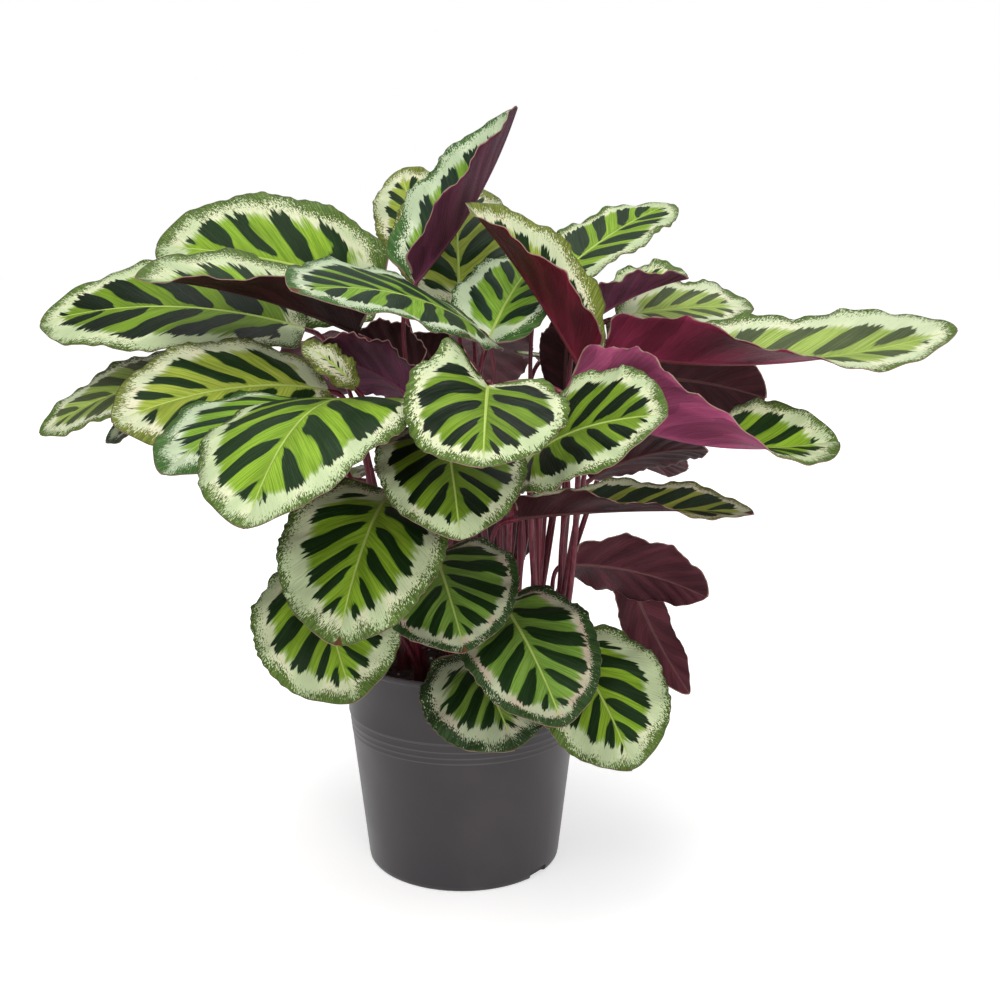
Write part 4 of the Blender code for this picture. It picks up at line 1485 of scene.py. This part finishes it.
@dataclass(frozen=True)
class Strewing:
    """One kind of lump that is strewn over the soil."""

    name: str
    count: int
    size: Spot                   # the least and the greatest radius
    squash: float                # how flat a lump is, 1 for round
    rough: Spot = (0.78, 1.12)   # how uneven its surface is
    slim: Spot = (0.5, 0.9)      # how much narrower than long it may be
    tilt: float = 0.5            # how far it may lean
    lift: float = 0.35           # how far its middle lies over the soil


@dataclass
class SoilBed:
    """The potting mix: a domed, crumbly plug with bark chips and perlite strewn on it."""

    radius: float = 0.0909
    level: float = SOIL_Z
    dome: float = 0.005
    bump: float = 0.0012
    crumb: float = 0.0007
    floor_z: float = 0.0027
    foot_radius: float = 0.0710
    rings: int = 26
    segments: int = 120
    seed: int = 11
    feet: list[Spot] = field(default_factory=list)
    clear: float = 0.0085        # lumps keep this far from the middle of a shoot
    strewn: float = 0.94         # and within this share of the radius
    crumbs: Strewing = Strewing("peat_crumbs", 260, (0.0012, 0.0030), 0.7)
    chips: Strewing = Strewing("bark_chips", 70, (0.0018, 0.0042), 0.4)
    grains: Strewing = Strewing("perlite_grains", 34, (0.0009, 0.0017), 0.9)

    def height(self, x: float, y: float) -> float:
        """Return the height of the soil at a place.

        Args:
            x: The place's x.
            y: Its y.
        Returns:
            The height.
        """
        share = math.hypot(x, y) / self.radius
        bumps = math.sin(x * 210.0 + 1.3) * math.cos(y * 190.0) + 0.6 * math.sin(x * 330.0 - y * 290.0)
        return self.level + self.dome * (1.0 - share * share) + self.bump * bumps * (1.0 - share ** 6)

    def plug(self, finishes: Finishes) -> bpy.types.Object:
        """Shape the plug, raise its top and roughen it.

        Args:
            finishes: The plant's finishes.
        Returns:
            The plug.
        """
        obj = disc("soil_bed", self.foot_radius, self.segments, (0.0, 0.0, self.floor_z))
        rise = self.level - self.floor_z
        profile = [(self.foot_radius, 0.0), (self.foot_radius + 0.003, 0.005)]
        profile += [(self.radius * (1.0 - step / self.rings), rise) for step in range(self.rings)]
        raise_wall(profile, (0.0, 0.0), self.floor_z)
        settle(obj)
        draw = random.Random(self.seed)
        for vertex in obj.data.vertices:
            if vertex.co.z > self.level - 0.001:
                crumbs = draw.uniform(-self.crumb, self.crumb)
                vertex.co.z = self.height(vertex.co.x, vertex.co.y) + crumbs
        smooth(obj)
        dress(obj, "soil", ["soil"], finishes.peat)
        return obj

    def strew(self, kind: Strewing, finish: bpy.types.Material) -> bpy.types.Object:
        """Strew lumps over the top, clear of the shoots.

        Args:
            kind: What is strewn.
            finish: The lumps' material.
        Returns:
            The lumps, joined.
        """
        draw = random.Random(f"{self.seed} {kind.name}")
        bpy.ops.object.select_all(action="DESELECT")
        bpy.ops.mesh.primitive_ico_sphere_add(subdivisions=2, radius=1.0)
        model = made("lump")
        for vertex in model.data.vertices:
            vertex.co *= draw.uniform(*kind.rough)
        lumps = []
        while len(lumps) < kind.count:
            away = self.radius * self.strewn * math.sqrt(draw.random())
            turn = draw.uniform(0.0, 2.0 * math.pi)
            x, y = away * math.cos(turn), away * math.sin(turn)
            if min(math.dist((x, y), foot) for foot in self.feet) < self.clear:
                continue
            radius = draw.uniform(*kind.size)
            tall = radius * kind.squash
            lump = bpy.data.objects.new("lump", model.data.copy())
            bpy.context.scene.collection.objects.link(lump)
            scale = Matrix.Diagonal((radius, radius * draw.uniform(*kind.slim), tall, 1.0))
            twist = Matrix.Rotation(draw.uniform(0.0, 6.28), 4, "Z")
            twist = twist @ Matrix.Rotation(draw.uniform(-kind.tilt, kind.tilt), 4, "X")
            spot = Matrix.Translation((x, y, self.height(x, y) + tall * kind.lift))
            lump.data.transform(spot @ twist @ scale)
            lumps.append(lump)
        bpy.data.objects.remove(model)
        obj = join(lumps, kind.name)
        smooth(obj)
        dress(obj, "soil", [], finish)
        return obj

    def build(self, finishes: Finishes) -> list[bpy.types.Object]:
        """Build the plug and what lies on it.

        Args:
            finishes: The plant's finishes.
        Returns:
            The pieces.
        """
        strewn = ((self.crumbs, finishes.peat), (self.chips, finishes.bark), (self.grains, finishes.perlite))
        return [self.plug(finishes), *(self.strew(kind, finish) for kind, finish in strewn)]


@dataclass(frozen=True)
class Lamp:
    """One soft square light."""

    name: str
    place: Point
    size: float
    power: float
    colour: Point


@dataclass
class Studio:
    """The pale floor, the soft lights and the camera."""

    camera_at: Point = (0.030, -1.09, 0.532)
    camera_down: float = math.radians(12.1)
    lens: float = 50.5
    sensor: float = 36.0
    sky: float = 0.40
    floor_r: float = 9.0
    floor_glow: Spot = (0.52, 0.76)
    floor_glow_at: Spot = (0.5, 3.0)
    floor_bounce: float = 0.55
    aim: Point = (0.0, 0.0, 0.32)
    lamps: tuple[Lamp, ...] = (
        Lamp("key light", (-0.7, -1.5, 2.4), 1.5, 36.0, (1.0, 0.985, 0.96)),
        Lamp("fill light", (0.5, -2.1, 0.75), 1.2, 17.0, (1.0, 0.99, 0.98)),
        Lamp("top light", (0.1, 0.5, 2.5), 1.8, 28.0, (1.0, 1.0, 1.0)),
    )

    def light(self, lamp: Lamp) -> None:
        """Add a soft square light that faces the plant.

        Args:
            lamp: What the light is.
        """
        bpy.ops.object.select_all(action="DESELECT")
        bpy.ops.object.light_add(type="AREA", location=lamp.place)
        obj = made(lamp.name)
        obj.data.shape = "SQUARE"
        obj.data.size = lamp.size
        obj.data.energy = lamp.power
        obj.data.color = lamp.colour
        toward = Vector(self.aim) - Vector(lamp.place)
        obj.rotation_euler = toward.to_track_quat("-Z", "Y").to_euler()

    def seen_or(self, g: Graph, share: float) -> Socket:
        """Return 1 where the camera looks straight at a thing, and the share for its light."""
        seen = g.node("ShaderNodeLightPath").outputs["Is Camera Ray"]
        return g.maths("MULTIPLY_ADD", seen, 1.0 - share, share)

    def paper(self) -> bpy.types.Material:
        """Build the floor's pale paper, which glows a little more with the distance.

        Returns:
            The material.
        """
        material, g, shader = new_material("studio paper", Roughness=0.9, Specular_IOR_Level=0.1)
        place = g.place()
        x, y, _ = g.parts(place)
        away = g.maths("SQRT", g.maths("MULTIPLY_ADD", y, y, g.maths("MULTIPLY", x, x)))
        glow = g.ramp(away, *self.floor_glow_at, *self.floor_glow)
        g.fill(shader, {
            "Base Color": g.mix(g.noise(place, 3.0), (0.80, 0.80, 0.80, 1.0), (0.82, 0.82, 0.82, 1.0)),
            "Emission Color": (1.0, 1.0, 1.0, 1.0),
            "Emission Strength": g.maths("MULTIPLY", glow, self.seen_or(g, self.floor_bounce)),
        })
        return material

    def floor(self) -> None:
        """Lay a wide pale floor."""
        obj = disc("studio_floor", self.floor_r, 96, (0.0, 0.0, -0.0002))
        settle(obj)
        obj.data.materials.append(self.paper())

    def air(self) -> None:
        """Fill the studio with an even white light."""
        world = bpy.data.worlds.new("studio air")
        world.use_nodes = True
        bpy.context.scene.world = world
        g = Graph(world.node_tree)
        white = (1.0, 1.0, 1.0, 1.0)
        g.fill(world.node_tree.nodes["Background"], {"Color": white, "Strength": self.seen_or(g, self.sky)})

    def camera(self) -> None:
        """Set up the camera."""
        tilt = (math.pi / 2.0 - self.camera_down, 0.0, 0.0)
        bpy.ops.object.select_all(action="DESELECT")
        bpy.ops.object.camera_add(location=self.camera_at, rotation=tilt)
        obj = made("camera")
        obj.data.lens = self.lens
        obj.data.sensor_width = self.sensor
        bpy.context.scene.camera = obj
        bpy.context.scene.view_settings.view_transform = "Standard"

    def build(self) -> None:
        """Build the studio."""
        self.floor()
        for lamp in self.lamps:
            self.light(lamp)
        self.air()
        self.camera()


def check_blade(name: str, obj: bpy.types.Object, stray: float = 0.004) -> None:
    """Warn if a blade strays from the box of the node that it stands for.

    Args:
        name: The node's name.
        obj: The blade.
        stray: How far it may pass the box.
    """
    low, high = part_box(name)
    over = max(max(low[axis] - corner[axis], corner[axis] - high[axis])
               for corner in obj.bound_box for axis in range(3))
    if over > stray:
        log.warning("%s passes its node by %.1f mm", name, over / MM)


def main() -> None:
    """Build the plant on its frame, then the studio."""
    logging.basicConfig(level=logging.INFO, format="%(message)s")
    finishes = Finishes()
    NurseryPot().build(finishes)
    feet = [(x * MM, y * MM) for x, y in SHOOTS.values()]
    SoilBed(feet=feet).build(finishes)
    forms = {name: LeafForm(leaf, number) for number, (name, leaf) in enumerate(LEAVES.items())}
    for number, foot in SHOOTS.items():
        own = [form for form in forms.values() if form.leaf.shoot == number]
        Shoot(number, own, foot, SPEARS.get(number, ())).build(finishes)
    for name, form in forms.items():
        check_blade(name, Blade(name, form, LOOKS.get(name, Look())).build(finishes))
    Studio().build()
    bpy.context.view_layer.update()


if __name__ == "__main__":
    main()
